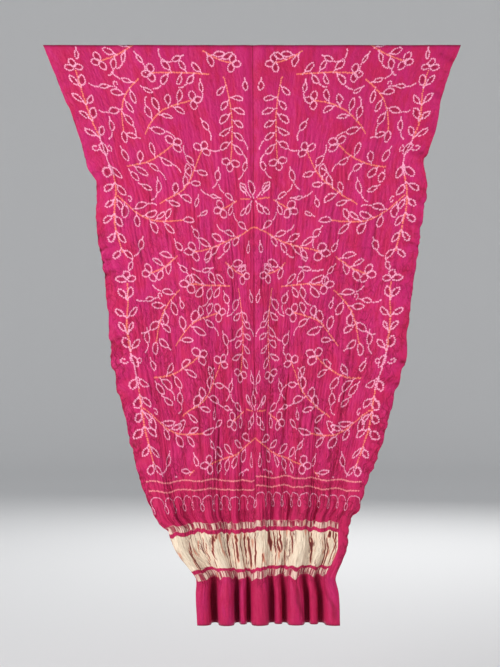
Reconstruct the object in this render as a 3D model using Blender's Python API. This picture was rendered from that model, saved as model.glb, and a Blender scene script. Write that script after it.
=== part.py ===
"""Bandhani cloth: the lower end of a crinkled silk stole, hung by its top edge.

One cloth, woven and dyed in one piece. It is nearly flat at the top, narrows downwards as its
crinkles draw it in, is pinched along its woven band, and falls below that in deep flutes.
Metres, +Z up, face towards -Y, origin at the middle of the top edge.
"""

import math
from collections import namedtuple

import bmesh
import bpy

# Driving dimensions of the cut cloth
CLOTH_WIDTH = 0.880
CLOTH_LENGTH = 1.158
CLOTH_THICKNESS = 0.002
HALF_WIDTH = CLOTH_WIDTH / 2

# How finely the folds are faceted
ROWS_ABOVE_BAND = 36
ROWS_BELOW_BAND = 13
BAND_DROP = 0.900
COLUMNS_PER_FLUTE = 6

# The fold along the middle, pressed in when the cloth was doubled for tying
CREASE_X_TOP = 0.002
CREASE_X_BOTTOM = 0.010
CREASE_DEPTH = 0.0035
CREASE_REACH = 0.012
CREASE_END = 0.930

# The plain margin along each side, which stays almost flat while the field is drawn in
MARGIN_FLAT = 0.040

# Where the cloth hangs, from its top edge down. left and right: the two side edges. margin: how
# wide the plain margin hangs. crowd: how much more the middle is drawn in than the sides. flute:
# the share of its full depth that each flute has. sag_left and sag_right: how much lower the
# sides hang than the middle.
Section = namedtuple("Section", "drop left right margin crowd flute sag_left sag_right")
SECTIONS = (
    Section(0.000, -0.418, 0.418, 0.040, 0.00, 0.06, 0.000, 0.000),
    Section(0.090, -0.382, 0.384, 0.040, 0.00, 0.07, 0.000, 0.000),
    Section(0.170, -0.350, 0.368, 0.040, 0.02, 0.08, 0.000, 0.000),
    Section(0.234, -0.332, 0.348, 0.040, 0.08, 0.10, 0.000, 0.000),
    Section(0.290, -0.312, 0.350, 0.040, 0.14, 0.10, 0.000, 0.000),
    Section(0.362, -0.312, 0.340, 0.040, 0.20, 0.12, 0.000, 0.000),
    Section(0.458, -0.296, 0.326, 0.040, 0.27, 0.13, 0.000, 0.000),
    Section(0.570, -0.286, 0.312, 0.040, 0.34, 0.15, 0.000, 0.000),
    Section(0.634, -0.282, 0.308, 0.040, 0.35, 0.16, 0.001, 0.001),
    Section(0.690, -0.270, 0.290, 0.040, 0.34, 0.18, 0.002, 0.002),
    Section(0.746, -0.253, 0.273, 0.038, 0.32, 0.21, 0.004, 0.004),
    Section(0.810, -0.239, 0.254, 0.034, 0.26, 0.25, 0.007, 0.007),
    Section(0.874, -0.219, 0.227, 0.026, 0.16, 0.30, 0.010, 0.009),
    Section(0.922, -0.197, 0.213, 0.020, 0.06, 0.36, 0.012, 0.008),
    Section(0.938, -0.188, 0.200, 0.018, 0.02, 0.38, 0.014, 0.006),
    Section(0.954, -0.169, 0.195, 0.016, 0.00, 0.40, 0.015, 0.005),
    Section(0.978, -0.161, 0.192, 0.014, 0.00, 0.36, 0.014, 0.002),
    Section(1.006, -0.149, 0.190, 0.013, 0.00, 0.38, 0.011, 0.001),
    Section(1.034, -0.130, 0.180, 0.013, 0.00, 0.40, 0.008, 0.000),
    Section(1.062, -0.112, 0.167, 0.013, 0.00, 0.50, 0.003, 0.000),
    Section(1.098, -0.112, 0.173, 0.013, 0.00, 0.90, 0.000, 0.000),
    Section(1.158, -0.109, 0.175, 0.013, 0.00, 1.00, 0.000, 0.000),
)

# The flutes, from left to right. width: what it takes of the flat cloth. depth: valley to ridge
# at the lower end. The outer two run past the side edges, which cut them part way up a ridge.
Flute = namedtuple("Flute", "width depth")
FLUTES = (
    Flute(0.180, 0.038),
    Flute(0.174, 0.042),
    Flute(0.079, 0.024),
    Flute(0.148, 0.040),
    Flute(0.058, 0.020),
    Flute(0.126, 0.036),
    Flute(0.064, 0.023),
    Flute(0.156, 0.039),
)
FIRST_FLUTE_START = -0.497
FLUTE_ROUNDNESS = 0.85
# How much wider the flutes' ridges hang than the valleys between them
FLUTE_SPREAD = 0.60
FLUTE_LEVEL = 0.018

# The short slanting pleats that ruffle the side edges: where each meets the edge, how far it
# lifts the cloth towards the viewer, and how far it draws the edge in.
Pleat = namedtuple("Pleat", "drop lift nip")
LEFT_PLEATS = (
    Pleat(0.060, 0.004, 0.001),
    Pleat(0.128, 0.005, 0.002),
    Pleat(0.198, 0.006, 0.002),
    Pleat(0.268, 0.008, 0.006),
    Pleat(0.352, 0.005, 0.002),
    Pleat(0.402, 0.006, 0.002),
    Pleat(0.455, 0.005, 0.002),
    Pleat(0.532, 0.006, 0.003),
    Pleat(0.600, 0.008, 0.003),
    Pleat(0.654, 0.009, 0.006),
    Pleat(0.704, 0.007, 0.003),
    Pleat(0.742, 0.006, 0.002),
    Pleat(0.802, 0.007, 0.003),
    Pleat(0.846, 0.006, 0.002),
)
RIGHT_PLEATS = (
    Pleat(0.040, 0.005, 0.002),
    Pleat(0.112, 0.005, 0.002),
    Pleat(0.180, 0.005, 0.001),
    Pleat(0.232, 0.009, 0.006),
    Pleat(0.322, 0.006, 0.002),
    Pleat(0.368, 0.007, 0.003),
    Pleat(0.470, 0.006, 0.002),
    Pleat(0.505, 0.005, 0.002),
    Pleat(0.576, 0.006, 0.003),
    Pleat(0.646, 0.010, 0.007),
    Pleat(0.688, 0.009, 0.006),
    Pleat(0.728, 0.007, 0.002),
    Pleat(0.800, 0.007, 0.003),
    Pleat(0.850, 0.006, 0.002),
)
PLEAT_HALF_HEIGHT = 0.015
PLEAT_REACH = 0.055
PLEAT_SLANT = 0.45

MAGENTA = (0.80, 0.01, 0.16, 1.0)
SATIN_ROUGHNESS = 0.45


def clear_scene():
    for thing in list(bpy.data.objects):
        bpy.data.objects.remove(thing, do_unlink=True)


def at_drop(name, drop):
    """A column of the section table at any drop, on a smooth curve through its rows."""
    drops = [section.drop for section in SECTIONS]
    values = [getattr(section, name) for section in SECTIONS]
    last = len(SECTIONS) - 2
    row = 0
    while row < last and drop > drops[row + 1]:
        row += 1
    span = drops[row + 1] - drops[row]
    t = min(max((drop - drops[row]) / span, 0.0), 1.0)

    def slope(i):
        before, after = max(i - 1, 0), min(i + 1, len(SECTIONS) - 1)
        return (values[after] - values[before]) / (drops[after] - drops[before])

    start, end = values[row], values[row + 1]
    start_rise, end_rise = slope(row) * span, slope(row + 1) * span
    return (
        start * (2 * t**3 - 3 * t**2 + 1)
        + start_rise * (t**3 - 2 * t**2 + t)
        + end * (3 * t**2 - 2 * t**3)
        + end_rise * (t**3 - t**2)
    )


def flute_at(across):
    """The flute that a place across the flat cloth belongs to, and how far along it the place is."""
    start = FIRST_FLUTE_START
    for flute in FLUTES[:-1]:
        if across < start + flute.width:
            return flute, (across - start) / flute.width
        start += flute.width
    return FLUTES[-1], (across - start) / FLUTES[-1].width


def hung_x(across, drop):
    """Where a place across the flat cloth hangs, before its flute rounds it."""
    left, right = at_drop("left", drop), at_drop("right", drop)
    margin = at_drop("margin", drop)
    crowd = at_drop("crowd", drop)
    middle = CREASE_X_TOP + (CREASE_X_BOTTOM - CREASE_X_TOP) * drop / CLOTH_LENGTH
    edge = right if across >= 0 else left
    side = math.copysign(1.0, across)
    field_flat = HALF_WIDTH - MARGIN_FLAT
    field_hung = abs(edge - middle) - margin
    if abs(across) > field_flat:
        return middle + side * (field_hung + margin * (abs(across) - field_flat) / MARGIN_FLAT)
    share = abs(across) / field_flat
    return middle + side * field_hung * ((1 - crowd) * share + crowd * share**2)


def pleat_push(across, drop):
    """How far the side pleats lift a place forward and draw it in."""
    from_edge = HALF_WIDTH - abs(across)
    fade = math.exp(-((from_edge / PLEAT_REACH) ** 2) * 2)
    pleats = LEFT_PLEATS if across < 0 else RIGHT_PLEATS
    lift = nip = 0.0
    for pleat in pleats:
        centre = pleat.drop - PLEAT_SLANT * from_edge
        bell = math.exp(-(((drop - centre) / PLEAT_HALF_HEIGHT) ** 2))
        lift += pleat.lift * bell * fade
        nip += pleat.nip * bell * fade
    return lift, nip


def crease_push(across, drop):
    """How far back the middle crease presses a place."""
    fade = min(max((CREASE_END - drop) / 0.06, 0.0), 1.0)
    return CREASE_DEPTH * fade * math.exp(-((across / CREASE_REACH) ** 2))


def hung_point(across, drop):
    """The place in the room of a point that lies across and drop on the flat cloth."""
    flute, along = flute_at(across)
    share = at_drop("flute", drop)
    turn = 2 * math.pi * along
    rounding = FLUTE_ROUNDNESS * math.sin(2 * turn) / 2 - FLUTE_SPREAD * math.sin(turn)
    rounding *= flute.width * share / (2 * math.pi)
    reach = HALF_WIDTH - 1e-6
    x = hung_x(min(max(across + rounding, -reach), reach), drop)
    ridge = flute.depth * (1 - math.cos(turn)) / 2
    lift, nip = pleat_push(across, drop)
    x -= math.copysign(nip, across)
    y = share * (FLUTE_LEVEL - ridge) - lift + crease_push(across, drop)
    side_share = (abs(across) / HALF_WIDTH) ** 2
    sag = at_drop("sag_right" if across >= 0 else "sag_left", drop) * side_share
    return x, y, -(drop + sag)


def columns_across():
    """Places across the flat cloth, with the same number in each flute."""
    places = []
    start = FIRST_FLUTE_START
    for flute in FLUTES:
        for step in range(COLUMNS_PER_FLUTE):
            place = start + flute.width * step / COLUMNS_PER_FLUTE
            if -HALF_WIDTH + 0.006 < place < HALF_WIDTH - 0.006:
                places.append(place)
        start += flute.width
    extra = (-HALF_WIDTH, -HALF_WIDTH + 0.010, 0.0, HALF_WIDTH - 0.010, HALF_WIDTH)
    places = [p for p in places if all(abs(p - e) > 0.008 for e in extra)]
    return sorted(places + list(extra))


def rows_down():
    above = [BAND_DROP * i / ROWS_ABOVE_BAND for i in range(ROWS_ABOVE_BAND)]
    rest = CLOTH_LENGTH - BAND_DROP
    below = [BAND_DROP + rest * i / ROWS_BELOW_BAND for i in range(ROWS_BELOW_BAND + 1)]
    return above + below


def cloth_material():
    material = bpy.data.materials.new("magenta_silk")
    material.use_nodes = True
    shader = material.node_tree.nodes["Principled BSDF"]
    shader.inputs["Base Color"].default_value = MAGENTA
    shader.inputs["Roughness"].default_value = SATIN_ROUGHNESS
    shader.inputs["Metallic"].default_value = 0.0
    return material


def make_cloth():
    """The whole cloth as one sheet on its folds, given its thickness by a Solidify modifier."""
    shell = bmesh.new()
    rows = rows_down()
    columns = columns_across()
    grid = [[shell.verts.new(hung_point(across, drop)) for across in columns] for drop in rows]
    for i in range(len(rows) - 1):
        for j in range(len(columns) - 1):
            corners = (grid[i][j], grid[i + 1][j], grid[i + 1][j + 1], grid[i][j + 1])
            shell.faces.new(corners)
    mesh = bpy.data.meshes.new("bandhani_cloth")
    shell.to_mesh(mesh)
    shell.free()
    mesh.shade_smooth()
    mesh.materials.append(cloth_material())

    cloth = bpy.data.objects.new("bandhani_cloth", mesh)
    bpy.context.scene.collection.objects.link(cloth)
    thicken = cloth.modifiers.new("cloth_thickness", "SOLIDIFY")
    thicken.thickness = CLOTH_THICKNESS
    thicken.offset = 0.0
    thicken.use_even_offset = False
    thicken.use_rim = True
    return cloth


clear_scene()
make_cloth()
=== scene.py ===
"""Bandhani cloth: the looks of a crinkled, tie-dyed silk stole that hangs by its top edge.

The cloth is drawn flat, as a maker lays it out, in metres across from its middle line and down
from its top edge. Every place on it is then hung on the main folds of the frame's solid and
crinkled. The dyed dots are worked out on the flat cloth too, so they follow each fold.
"""
import math
from collections import namedtuple

import bpy
import numpy as np
from bpy.props import FloatProperty, FloatVectorProperty, PointerProperty
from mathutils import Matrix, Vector


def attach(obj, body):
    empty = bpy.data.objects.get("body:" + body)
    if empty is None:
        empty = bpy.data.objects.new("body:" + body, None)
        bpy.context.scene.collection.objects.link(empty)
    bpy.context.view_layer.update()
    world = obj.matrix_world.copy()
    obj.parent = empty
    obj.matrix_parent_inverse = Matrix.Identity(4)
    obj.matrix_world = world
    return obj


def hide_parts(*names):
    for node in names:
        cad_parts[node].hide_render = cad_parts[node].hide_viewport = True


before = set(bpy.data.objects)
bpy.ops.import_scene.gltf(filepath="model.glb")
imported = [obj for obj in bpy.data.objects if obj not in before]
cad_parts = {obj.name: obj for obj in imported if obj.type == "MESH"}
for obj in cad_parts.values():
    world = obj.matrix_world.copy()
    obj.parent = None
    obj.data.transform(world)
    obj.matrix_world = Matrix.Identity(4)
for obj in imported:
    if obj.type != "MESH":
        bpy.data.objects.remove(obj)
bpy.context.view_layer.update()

bl_info = {
    "name": "Bandhani Cloth",
    "version": (1, 0, 0),
    "blender": (4, 5, 0),
    "location": "View3D > Sidebar > Bandhani",
    "description": "Makes a hanging crinkled silk cloth with tied-and-dyed sprigs and a woven band",
    "category": "Object",
}

CLOTH_NODE = "bandhani_cloth"
FLAT_MAP = "OFBake"

# ---------------------------------------------------------------------------------------------
# How the cloth hangs
# ---------------------------------------------------------------------------------------------

CLOTH_WIDTH = 0.880
CLOTH_LENGTH = 1.158
HALF_WIDTH = CLOTH_WIDTH / 2
MARGIN_FLAT = 0.040
MILLIMETRE = 0.001

# The fold along the middle, pressed in when the cloth was doubled for tying
CREASE_X_TOP = 0.002
CREASE_X_BOTTOM = 0.010
CREASE_DEPTH = 0.0035
CREASE_REACH = 0.010
CREASE_END = 0.930
CREASE_FADE = 0.06
# How wide the shade painted along the middle fold is
FOLD_LINE = 0.0022

# The same sections as the solid's, and the crinkles' depth, which only the looks need. left and
# right: the side edges. margin: how wide the plain margin hangs. crowd: how much more the middle
# is drawn in than the sides. flute: the share of its full depth that each flute has. sag_left,
# sag_right: how much lower the sides hang than the middle. crinkle: in millimetres.
Section = namedtuple("Section", "drop left right margin crowd flute sag_left sag_right crinkle")
SECTIONS = (
    Section(0.000, -0.418, 0.418, 0.040, 0.00, 0.06, 0.000, 0.000, 0.50),
    Section(0.090, -0.382, 0.384, 0.040, 0.00, 0.07, 0.000, 0.000, 0.60),
    Section(0.170, -0.350, 0.368, 0.040, 0.02, 0.08, 0.000, 0.000, 0.80),
    Section(0.234, -0.332, 0.348, 0.040, 0.08, 0.10, 0.000, 0.000, 1.15),
    Section(0.290, -0.312, 0.350, 0.040, 0.14, 0.10, 0.000, 0.000, 1.40),
    Section(0.362, -0.312, 0.340, 0.040, 0.20, 0.12, 0.000, 0.000, 1.50),
    Section(0.458, -0.296, 0.326, 0.040, 0.27, 0.13, 0.000, 0.000, 1.40),
    Section(0.570, -0.286, 0.312, 0.040, 0.34, 0.15, 0.000, 0.000, 1.50),
    Section(0.634, -0.282, 0.308, 0.040, 0.35, 0.16, 0.001, 0.001, 1.60),
    Section(0.690, -0.270, 0.290, 0.040, 0.34, 0.18, 0.002, 0.002, 1.70),
    Section(0.746, -0.253, 0.273, 0.038, 0.32, 0.21, 0.004, 0.004, 1.80),
    Section(0.810, -0.239, 0.254, 0.034, 0.26, 0.25, 0.007, 0.007, 1.90),
    Section(0.874, -0.219, 0.227, 0.026, 0.16, 0.30, 0.010, 0.009, 2.30),
    Section(0.922, -0.197, 0.213, 0.020, 0.06, 0.36, 0.012, 0.008, 2.70),
    Section(0.938, -0.188, 0.200, 0.018, 0.02, 0.38, 0.014, 0.006, 2.55),
    Section(0.954, -0.169, 0.195, 0.016, 0.00, 0.40, 0.015, 0.005, 2.40),
    Section(0.978, -0.161, 0.192, 0.014, 0.00, 0.36, 0.014, 0.002, 1.05),
    Section(1.006, -0.149, 0.190, 0.013, 0.00, 0.38, 0.011, 0.001, 1.05),
    Section(1.034, -0.130, 0.180, 0.013, 0.00, 0.40, 0.008, 0.000, 1.05),
    Section(1.062, -0.112, 0.167, 0.013, 0.00, 0.50, 0.003, 0.000, 1.60),
    Section(1.098, -0.112, 0.173, 0.013, 0.00, 0.90, 0.000, 0.000, 0.90),
    Section(1.158, -0.109, 0.175, 0.013, 0.00, 1.00, 0.000, 0.000, 0.70),
)

# The flutes of the lower end, from left to right. width: of flat cloth. depth: valley to ridge.
Flute = namedtuple("Flute", "width depth")
FLUTES = (
    Flute(0.180, 0.038),
    Flute(0.174, 0.042),
    Flute(0.079, 0.024),
    Flute(0.148, 0.040),
    Flute(0.058, 0.020),
    Flute(0.126, 0.036),
    Flute(0.064, 0.023),
    Flute(0.156, 0.039),
)
FIRST_FLUTE_START = -0.497
FLUTE_ROUNDNESS = 0.85
FLUTE_SPREAD = 0.60
FLUTE_LEVEL = 0.018

# The short slanting pleats that ruffle the side edges. drop: where each is at its highest. lift:
# how far it stands forward. nip: how far it draws the edge in.
Pleat = namedtuple("Pleat", "drop lift nip")
LEFT_PLEATS = (
    Pleat(0.060, 0.004, 0.001),
    Pleat(0.128, 0.005, 0.002),
    Pleat(0.198, 0.006, 0.002),
    Pleat(0.268, 0.008, 0.006),
    Pleat(0.352, 0.005, 0.002),
    Pleat(0.402, 0.006, 0.002),
    Pleat(0.455, 0.005, 0.002),
    Pleat(0.532, 0.006, 0.003),
    Pleat(0.600, 0.008, 0.003),
    Pleat(0.654, 0.009, 0.006),
    Pleat(0.704, 0.007, 0.003),
    Pleat(0.742, 0.006, 0.002),
    Pleat(0.802, 0.007, 0.003),
    Pleat(0.846, 0.006, 0.002),
)
RIGHT_PLEATS = (
    Pleat(0.040, 0.005, 0.002),
    Pleat(0.112, 0.005, 0.002),
    Pleat(0.180, 0.005, 0.001),
    Pleat(0.232, 0.009, 0.006),
    Pleat(0.322, 0.006, 0.002),
    Pleat(0.368, 0.007, 0.003),
    Pleat(0.470, 0.006, 0.002),
    Pleat(0.505, 0.005, 0.002),
    Pleat(0.576, 0.006, 0.003),
    Pleat(0.646, 0.010, 0.007),
    Pleat(0.688, 0.009, 0.006),
    Pleat(0.728, 0.007, 0.002),
    Pleat(0.800, 0.007, 0.003),
    Pleat(0.850, 0.006, 0.002),
)
PLEAT_ABOVE = 0.006
PLEAT_BELOW = 0.020
PLEAT_REACH = 0.055
PLEAT_SLANT = 0.45
PLEAT_SHADE_LIFT = 0.010

# The fine ripples that frill the side edges between the pleats
EDGE_RIPPLE_PITCH = 0.026
EDGE_RIPPLE_REACH = 0.038
EDGE_RIPPLE_DEPTH = 0.0022
EDGE_RIPPLE_TOP = 0.10
EDGE_RIPPLE_RISE = 0.30
EDGE_RIPPLE_END = 1.05
EDGE_RIPPLE_CELLS = (0.045, 0.05)
EDGE_RIPPLE_SEED = 83

# The longer creases, each placed on the flat cloth: where it starts and ends, how deep
# and how wide its soft trough is, and how far it leans sideways on its way down.
Crease = namedtuple("Crease", "across top bottom depth reach lean")
CREASES = (
    Crease(-0.352, 0.300, 0.470, 0.0011, 0.0045, 0.010),
    Crease(-0.318, 0.235, 0.420, 0.0012, 0.0040, 0.006),
    Crease(-0.296, 0.520, 0.900, 0.0015, 0.0050, 0.008),
    Crease(-0.270, 0.330, 0.560, 0.0012, 0.0045, 0.004),
    Crease(-0.242, 0.260, 0.400, 0.0011, 0.0040, 0.004),
    Crease(-0.230, 0.640, 0.930, 0.0017, 0.0055, 0.006),
    Crease(-0.196, 0.380, 0.700, 0.0012, 0.0045, -0.003),
    Crease(-0.171, 0.600, 0.950, 0.0019, 0.0055, 0.004),
    Crease(-0.140, 0.300, 0.520, 0.0011, 0.0040, 0.000),
    Crease(-0.118, 0.680, 0.940, 0.0017, 0.0050, 0.003),
    Crease(-0.092, 0.420, 0.640, 0.0012, 0.0040, 0.002),
    Crease(-0.062, 0.560, 0.950, 0.0019, 0.0055, 0.002),
    Crease(-0.034, 0.250, 0.460, 0.0010, 0.0040, 0.000),
    Crease(0.030, 0.330, 0.600, 0.0011, 0.0040, -0.002),
    Crease(0.052, 0.700, 0.950, 0.0016, 0.0050, -0.002),
    Crease(0.083, 0.480, 0.760, 0.0014, 0.0045, 0.000),
    Crease(0.112, 0.280, 0.480, 0.0011, 0.0040, -0.003),
    Crease(0.128, 0.640, 0.950, 0.0019, 0.0055, -0.004),
    Crease(0.160, 0.400, 0.600, 0.0012, 0.0045, 0.000),
    Crease(0.192, 0.560, 0.940, 0.0017, 0.0055, -0.005),
    Crease(0.226, 0.270, 0.500, 0.0011, 0.0040, -0.004),
    Crease(0.250, 0.690, 0.930, 0.0016, 0.0050, -0.006),
    Crease(0.284, 0.400, 0.700, 0.0012, 0.0045, -0.005),
    Crease(0.315, 0.500, 0.880, 0.0015, 0.0050, -0.008),
    Crease(0.345, 0.290, 0.450, 0.0010, 0.0040, -0.006),
    Crease(-0.020, 0.020, 0.160, 0.0004, 0.0060, 0.012),
    Crease(0.180, 0.030, 0.200, 0.0004, 0.0060, -0.016),
    Crease(-0.250, 0.030, 0.190, 0.0004, 0.0060, 0.020),
    Crease(0.330, 0.060, 0.240, 0.0004, 0.0060, -0.022),
    Crease(-0.345, 1.066, 1.150, 0.0009, 0.0070, 0.024),
    Crease(0.044, 1.070, 1.158, 0.0010, 0.0075, 0.028),
    Crease(0.200, 1.064, 1.158, 0.0012, 0.0080, 0.036),
    Crease(0.380, 1.066, 1.158, 0.0011, 0.0080, 0.036),
)
CREASE_WANDER = 0.007
CREASE_CELL = 0.035
CREASE_TAPER = 0.25
CREASE_SEED = 200

# The tightly pulled creases of the broad undyed stripe, where dye ran in. top_across and
# bottom_across: how far across the flat cloth each starts and ends. top and bottom: how far down.
# width: about half the crease's. stain: how much dye it holds.
Pull = namedtuple("Pull", "top_across bottom_across top bottom width stain")
PULLS = (
    Pull(-0.430, -0.424, 0.972, 1.010, 0.0026, 0.55),
    Pull(-0.363, -0.398, 0.990, 1.050, 0.0026, 0.60),
    Pull(-0.346, -0.388, 0.976, 1.053, 0.0034, 1.00),
    Pull(-0.306, -0.330, 0.985, 1.020, 0.0026, 0.50),
    Pull(-0.270, -0.308, 0.979, 1.052, 0.0026, 0.85),
    Pull(-0.258, -0.286, 0.992, 1.036, 0.0026, 0.70),
    Pull(-0.222, -0.256, 0.972, 1.052, 0.0028, 0.75),
    Pull(-0.206, -0.238, 0.970, 1.000, 0.0039, 0.65),
    Pull(-0.145, -0.166, 0.972, 1.051, 0.0028, 0.95),
    Pull(-0.127, -0.117, 0.980, 1.016, 0.0026, 0.75),
    Pull(-0.119, -0.136, 1.010, 1.052, 0.0026, 0.80),
    Pull(-0.104, -0.110, 0.971, 1.036, 0.0034, 0.70),
    Pull(-0.085, -0.083, 0.977, 1.050, 0.0026, 0.90),
    Pull(-0.062, -0.060, 0.972, 1.041, 0.0026, 0.95),
    Pull(-0.042, -0.026, 0.979, 1.048, 0.0085, 0.72),
    Pull(-0.003, 0.001, 0.972, 1.051, 0.0026, 1.00),
    Pull(0.026, 0.022, 1.016, 1.052, 0.0026, 0.55),
    Pull(0.054, 0.072, 0.970, 1.018, 0.0092, 0.90),
    Pull(0.079, 0.106, 0.972, 1.051, 0.0026, 0.95),
    Pull(0.096, 0.114, 0.970, 1.020, 0.0026, 1.00),
    Pull(0.110, 0.120, 0.970, 1.018, 0.0026, 0.95),
    Pull(0.136, 0.148, 1.012, 1.053, 0.0026, 0.60),
    Pull(0.163, 0.178, 0.970, 1.022, 0.0032, 1.00),
    Pull(0.176, 0.182, 0.970, 1.012, 0.0026, 0.85),
    Pull(0.243, 0.279, 0.970, 1.046, 0.0032, 1.00),
    Pull(0.258, 0.276, 0.973, 1.046, 0.0026, 0.85),
    Pull(0.300, 0.316, 0.978, 1.004, 0.0026, 0.55),
    Pull(0.320, 0.344, 0.976, 1.054, 0.0028, 1.00),
    Pull(0.334, 0.352, 0.986, 1.052, 0.0026, 0.95),
    Pull(0.346, 0.349, 0.976, 0.990, 0.0080, 0.95),
    Pull(0.368, 0.375, 0.969, 1.050, 0.0028, 1.00),
    Pull(0.386, 0.372, 0.974, 1.022, 0.0026, 0.80),
)
PULL_WANDER = 0.0036
PULL_CELL = 0.0075
PULL_WIDTH_CELL = 0.014
PULL_START = 0.12
PULL_SEED = 300
PULL_WIDTH_SEED = 340
PULL_DEPTH = 0.0011

# The small crinkles all over: how far apart they run on the flat cloth, their share of the
# depth, and the seed of their wandering.
Crinkle = namedtuple("Crinkle", "pitch share seed")
CRINKLES = (
    Crinkle(0.0230, 0.55, 11),
    Crinkle(0.0135, 0.48, 23),
    Crinkle(0.0090, 0.38, 37),
)
CRINKLE_WANDER = 2.6
CRINKLE_DRIFT = 1.9
WANDER_CELL = (0.040, 0.055)
DRIFT_CELL = (0.016, 0.024)
SWELL_CELL = (0.028, 0.036)
CUSP_ROUND = 0.03
CUSP_LEVEL = 1.3
CRINKLE_MARGIN = 0.05

# A zone is a stretch of the drop where something shows. It comes in over the rise below the top,
# and dies away over the fall above the bottom.
Zone = namedtuple("Zone", "top rise bottom fall")

# The rows hang unevenly: how far each wobble lifts them, where, the cells of flat cloth that it
# changes over, and its seed. The first is slight and all over, the second is in the gathers.
Wobble = namedtuple("Wobble", "lift zone cell seed")
WOBBLES = (
    Wobble(0.0024, Zone(0.0, 0.20, CLOTH_LENGTH, 0.05), (0.045, 0.14), 71),
    Wobble(0.0030, Zone(0.830, 0.150, 1.100, 0.030), (0.015, 0.09), 72),
)

# The ruffle where the plain end is drawn in under the lowest stripe, and the shade painted in the
# tuck beneath it
RUFFLE_DROP = 1.058
RUFFLE_LIFT = 0.0060
RUFFLE_REACH = 0.014
RUFFLE_CELL = (0.026, 0.12)
RUFFLE_SEED = 73
TUCK_BELOW = 0.008
TUCK_REACH = 0.007

# The left half hangs a little lower than the right beside the middle fold, about the band
HALF_STEP = 0.005
HALF_STEP_ZONE = Zone(0.800, 0.080, 1.090, 0.040)
HALF_STEP_SOFT = 0.014
HALF_STEP_REACH = 0.30

# The upright pleats between the scallops above the band
SCALLOP_COUNT = 22
SCALLOP_SPAN = 0.430
SCALLOP_PLEAT_DEPTH = 0.0028
SCALLOP_PLEAT_ZONE = Zone(0.885, 0.03, 0.962, 0.02)
SCALLOP_PLEAT_CELL = 0.05
SCALLOP_PLEAT_SEED = 91

# How deep a shade the hollows between the flutes hold, from how far down, and from where the
# shade beneath the lowest stripe starts
HOLLOW_SHADE = 0.9
HOLLOW_TOP = 0.98
HOLLOW_RISE = 0.09
UNDER_STRIPE_TOP = 1.056
UNDER_STRIPE_RISE = 0.012

# How finely the cloth is meshed
COLUMNS = 500
ROWS = 192
HEM_FOLD = 0.008
HEM_ROWS = 3
HEM_BEHIND = 0.0012
HEM_ROUND = 0.0025

LATTICE = 64


def smooth_step(value):
    """A soft step from 0 to 1 while the value goes from 0 to 1."""
    value = np.clip(value, 0.0, 1.0)
    return value * value * (3 - 2 * value)


def bell(value):
    """1 where the value is nought, dying away softly on both sides."""
    return np.exp(-(value**2))


def in_zone(drop, zone):
    """How fully each drop lies in a zone, from 0 to 1."""
    risen = smooth_step((drop - zone.top) / zone.rise)
    return risen * smooth_step((zone.bottom - drop) / zone.fall)


def soft_noise(across, down, cell, seed):
    """Soft random hills from -1 to 1, one to a cell of the given size each way."""
    lattice = np.random.default_rng(seed).uniform(-1, 1, (LATTICE, LATTICE))
    a = across / cell[0] + LATTICE / 2
    d = down / cell[1] + LATTICE / 2
    i, j = np.floor(a).astype(int), np.floor(d).astype(int)
    fa, fd = smooth_step(a - i), smooth_step(d - j)
    i, j, i1, j1 = i % LATTICE, j % LATTICE, (i + 1) % LATTICE, (j + 1) % LATTICE
    near = lattice[i, j] * (1 - fa) + lattice[i1, j] * fa
    far = lattice[i, j1] * (1 - fa) + lattice[i1, j1] * fa
    return near * (1 - fd) + far * fd


def noise_down(drop, cell, seed):
    """Soft random hills that change only on the way down the cloth."""
    return soft_noise(np.zeros_like(drop), drop, (1.0, cell), seed)


def cusped(phase):
    """A wave of broad ridges between narrow valleys, about level nought."""
    return 2 * np.sqrt(np.sin(phase / 2) ** 2 + CUSP_ROUND) - CUSP_LEVEL


def at_drop(name, drop):
    """A column of the section table at any drops, on a smooth curve through its rows."""
    drops = np.array([section.drop for section in SECTIONS])
    values = np.array([getattr(section, name) for section in SECTIONS])
    row = np.clip(np.searchsorted(drops, drop, side="left") - 1, 0, len(SECTIONS) - 2)
    span = drops[row + 1] - drops[row]
    t = np.clip((drop - drops[row]) / span, 0.0, 1.0)
    before = np.maximum(np.arange(len(SECTIONS)) - 1, 0)
    after = np.minimum(np.arange(len(SECTIONS)) + 1, len(SECTIONS) - 1)
    slopes = (values[after] - values[before]) / (drops[after] - drops[before])
    return (
        values[row] * (2 * t**3 - 3 * t**2 + 1)
        + slopes[row] * span * (t**3 - 2 * t**2 + t)
        + values[row + 1] * (3 * t**2 - 2 * t**3)
        + slopes[row + 1] * span * (t**3 - t**2)
    )


def flute_at(across):
    """The width and depth of the flute that each place is in, and how far along it the place is."""
    widths = np.array([flute.width for flute in FLUTES])
    depths = np.array([flute.depth for flute in FLUTES])
    ends = FIRST_FLUTE_START + np.cumsum(widths)
    index = np.clip(np.searchsorted(ends, across, side="right"), 0, len(FLUTES) - 1)
    along = (across - (ends[index] - widths[index])) / widths[index]
    return widths[index], depths[index], along


def hung_x(across, drop):
    """Where places across the flat cloth hang, before their flutes round them."""
    middle = CREASE_X_TOP + (CREASE_X_BOTTOM - CREASE_X_TOP) * drop / CLOTH_LENGTH
    edge = np.where(across >= 0, at_drop("right", drop), at_drop("left", drop))
    margin, crowd = at_drop("margin", drop), at_drop("crowd", drop)
    side, reach = np.where(across >= 0, 1.0, -1.0), np.abs(across)
    field_flat = HALF_WIDTH - MARGIN_FLAT
    field_hung = np.abs(edge - middle) - margin
    share = np.minimum(reach / field_flat, 1.0)
    in_margin = np.maximum(reach - field_flat, 0.0) / MARGIN_FLAT
    drawn = field_hung * ((1 - crowd) * share + crowd * share**2) + margin * in_margin
    return middle + side * drawn


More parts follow.
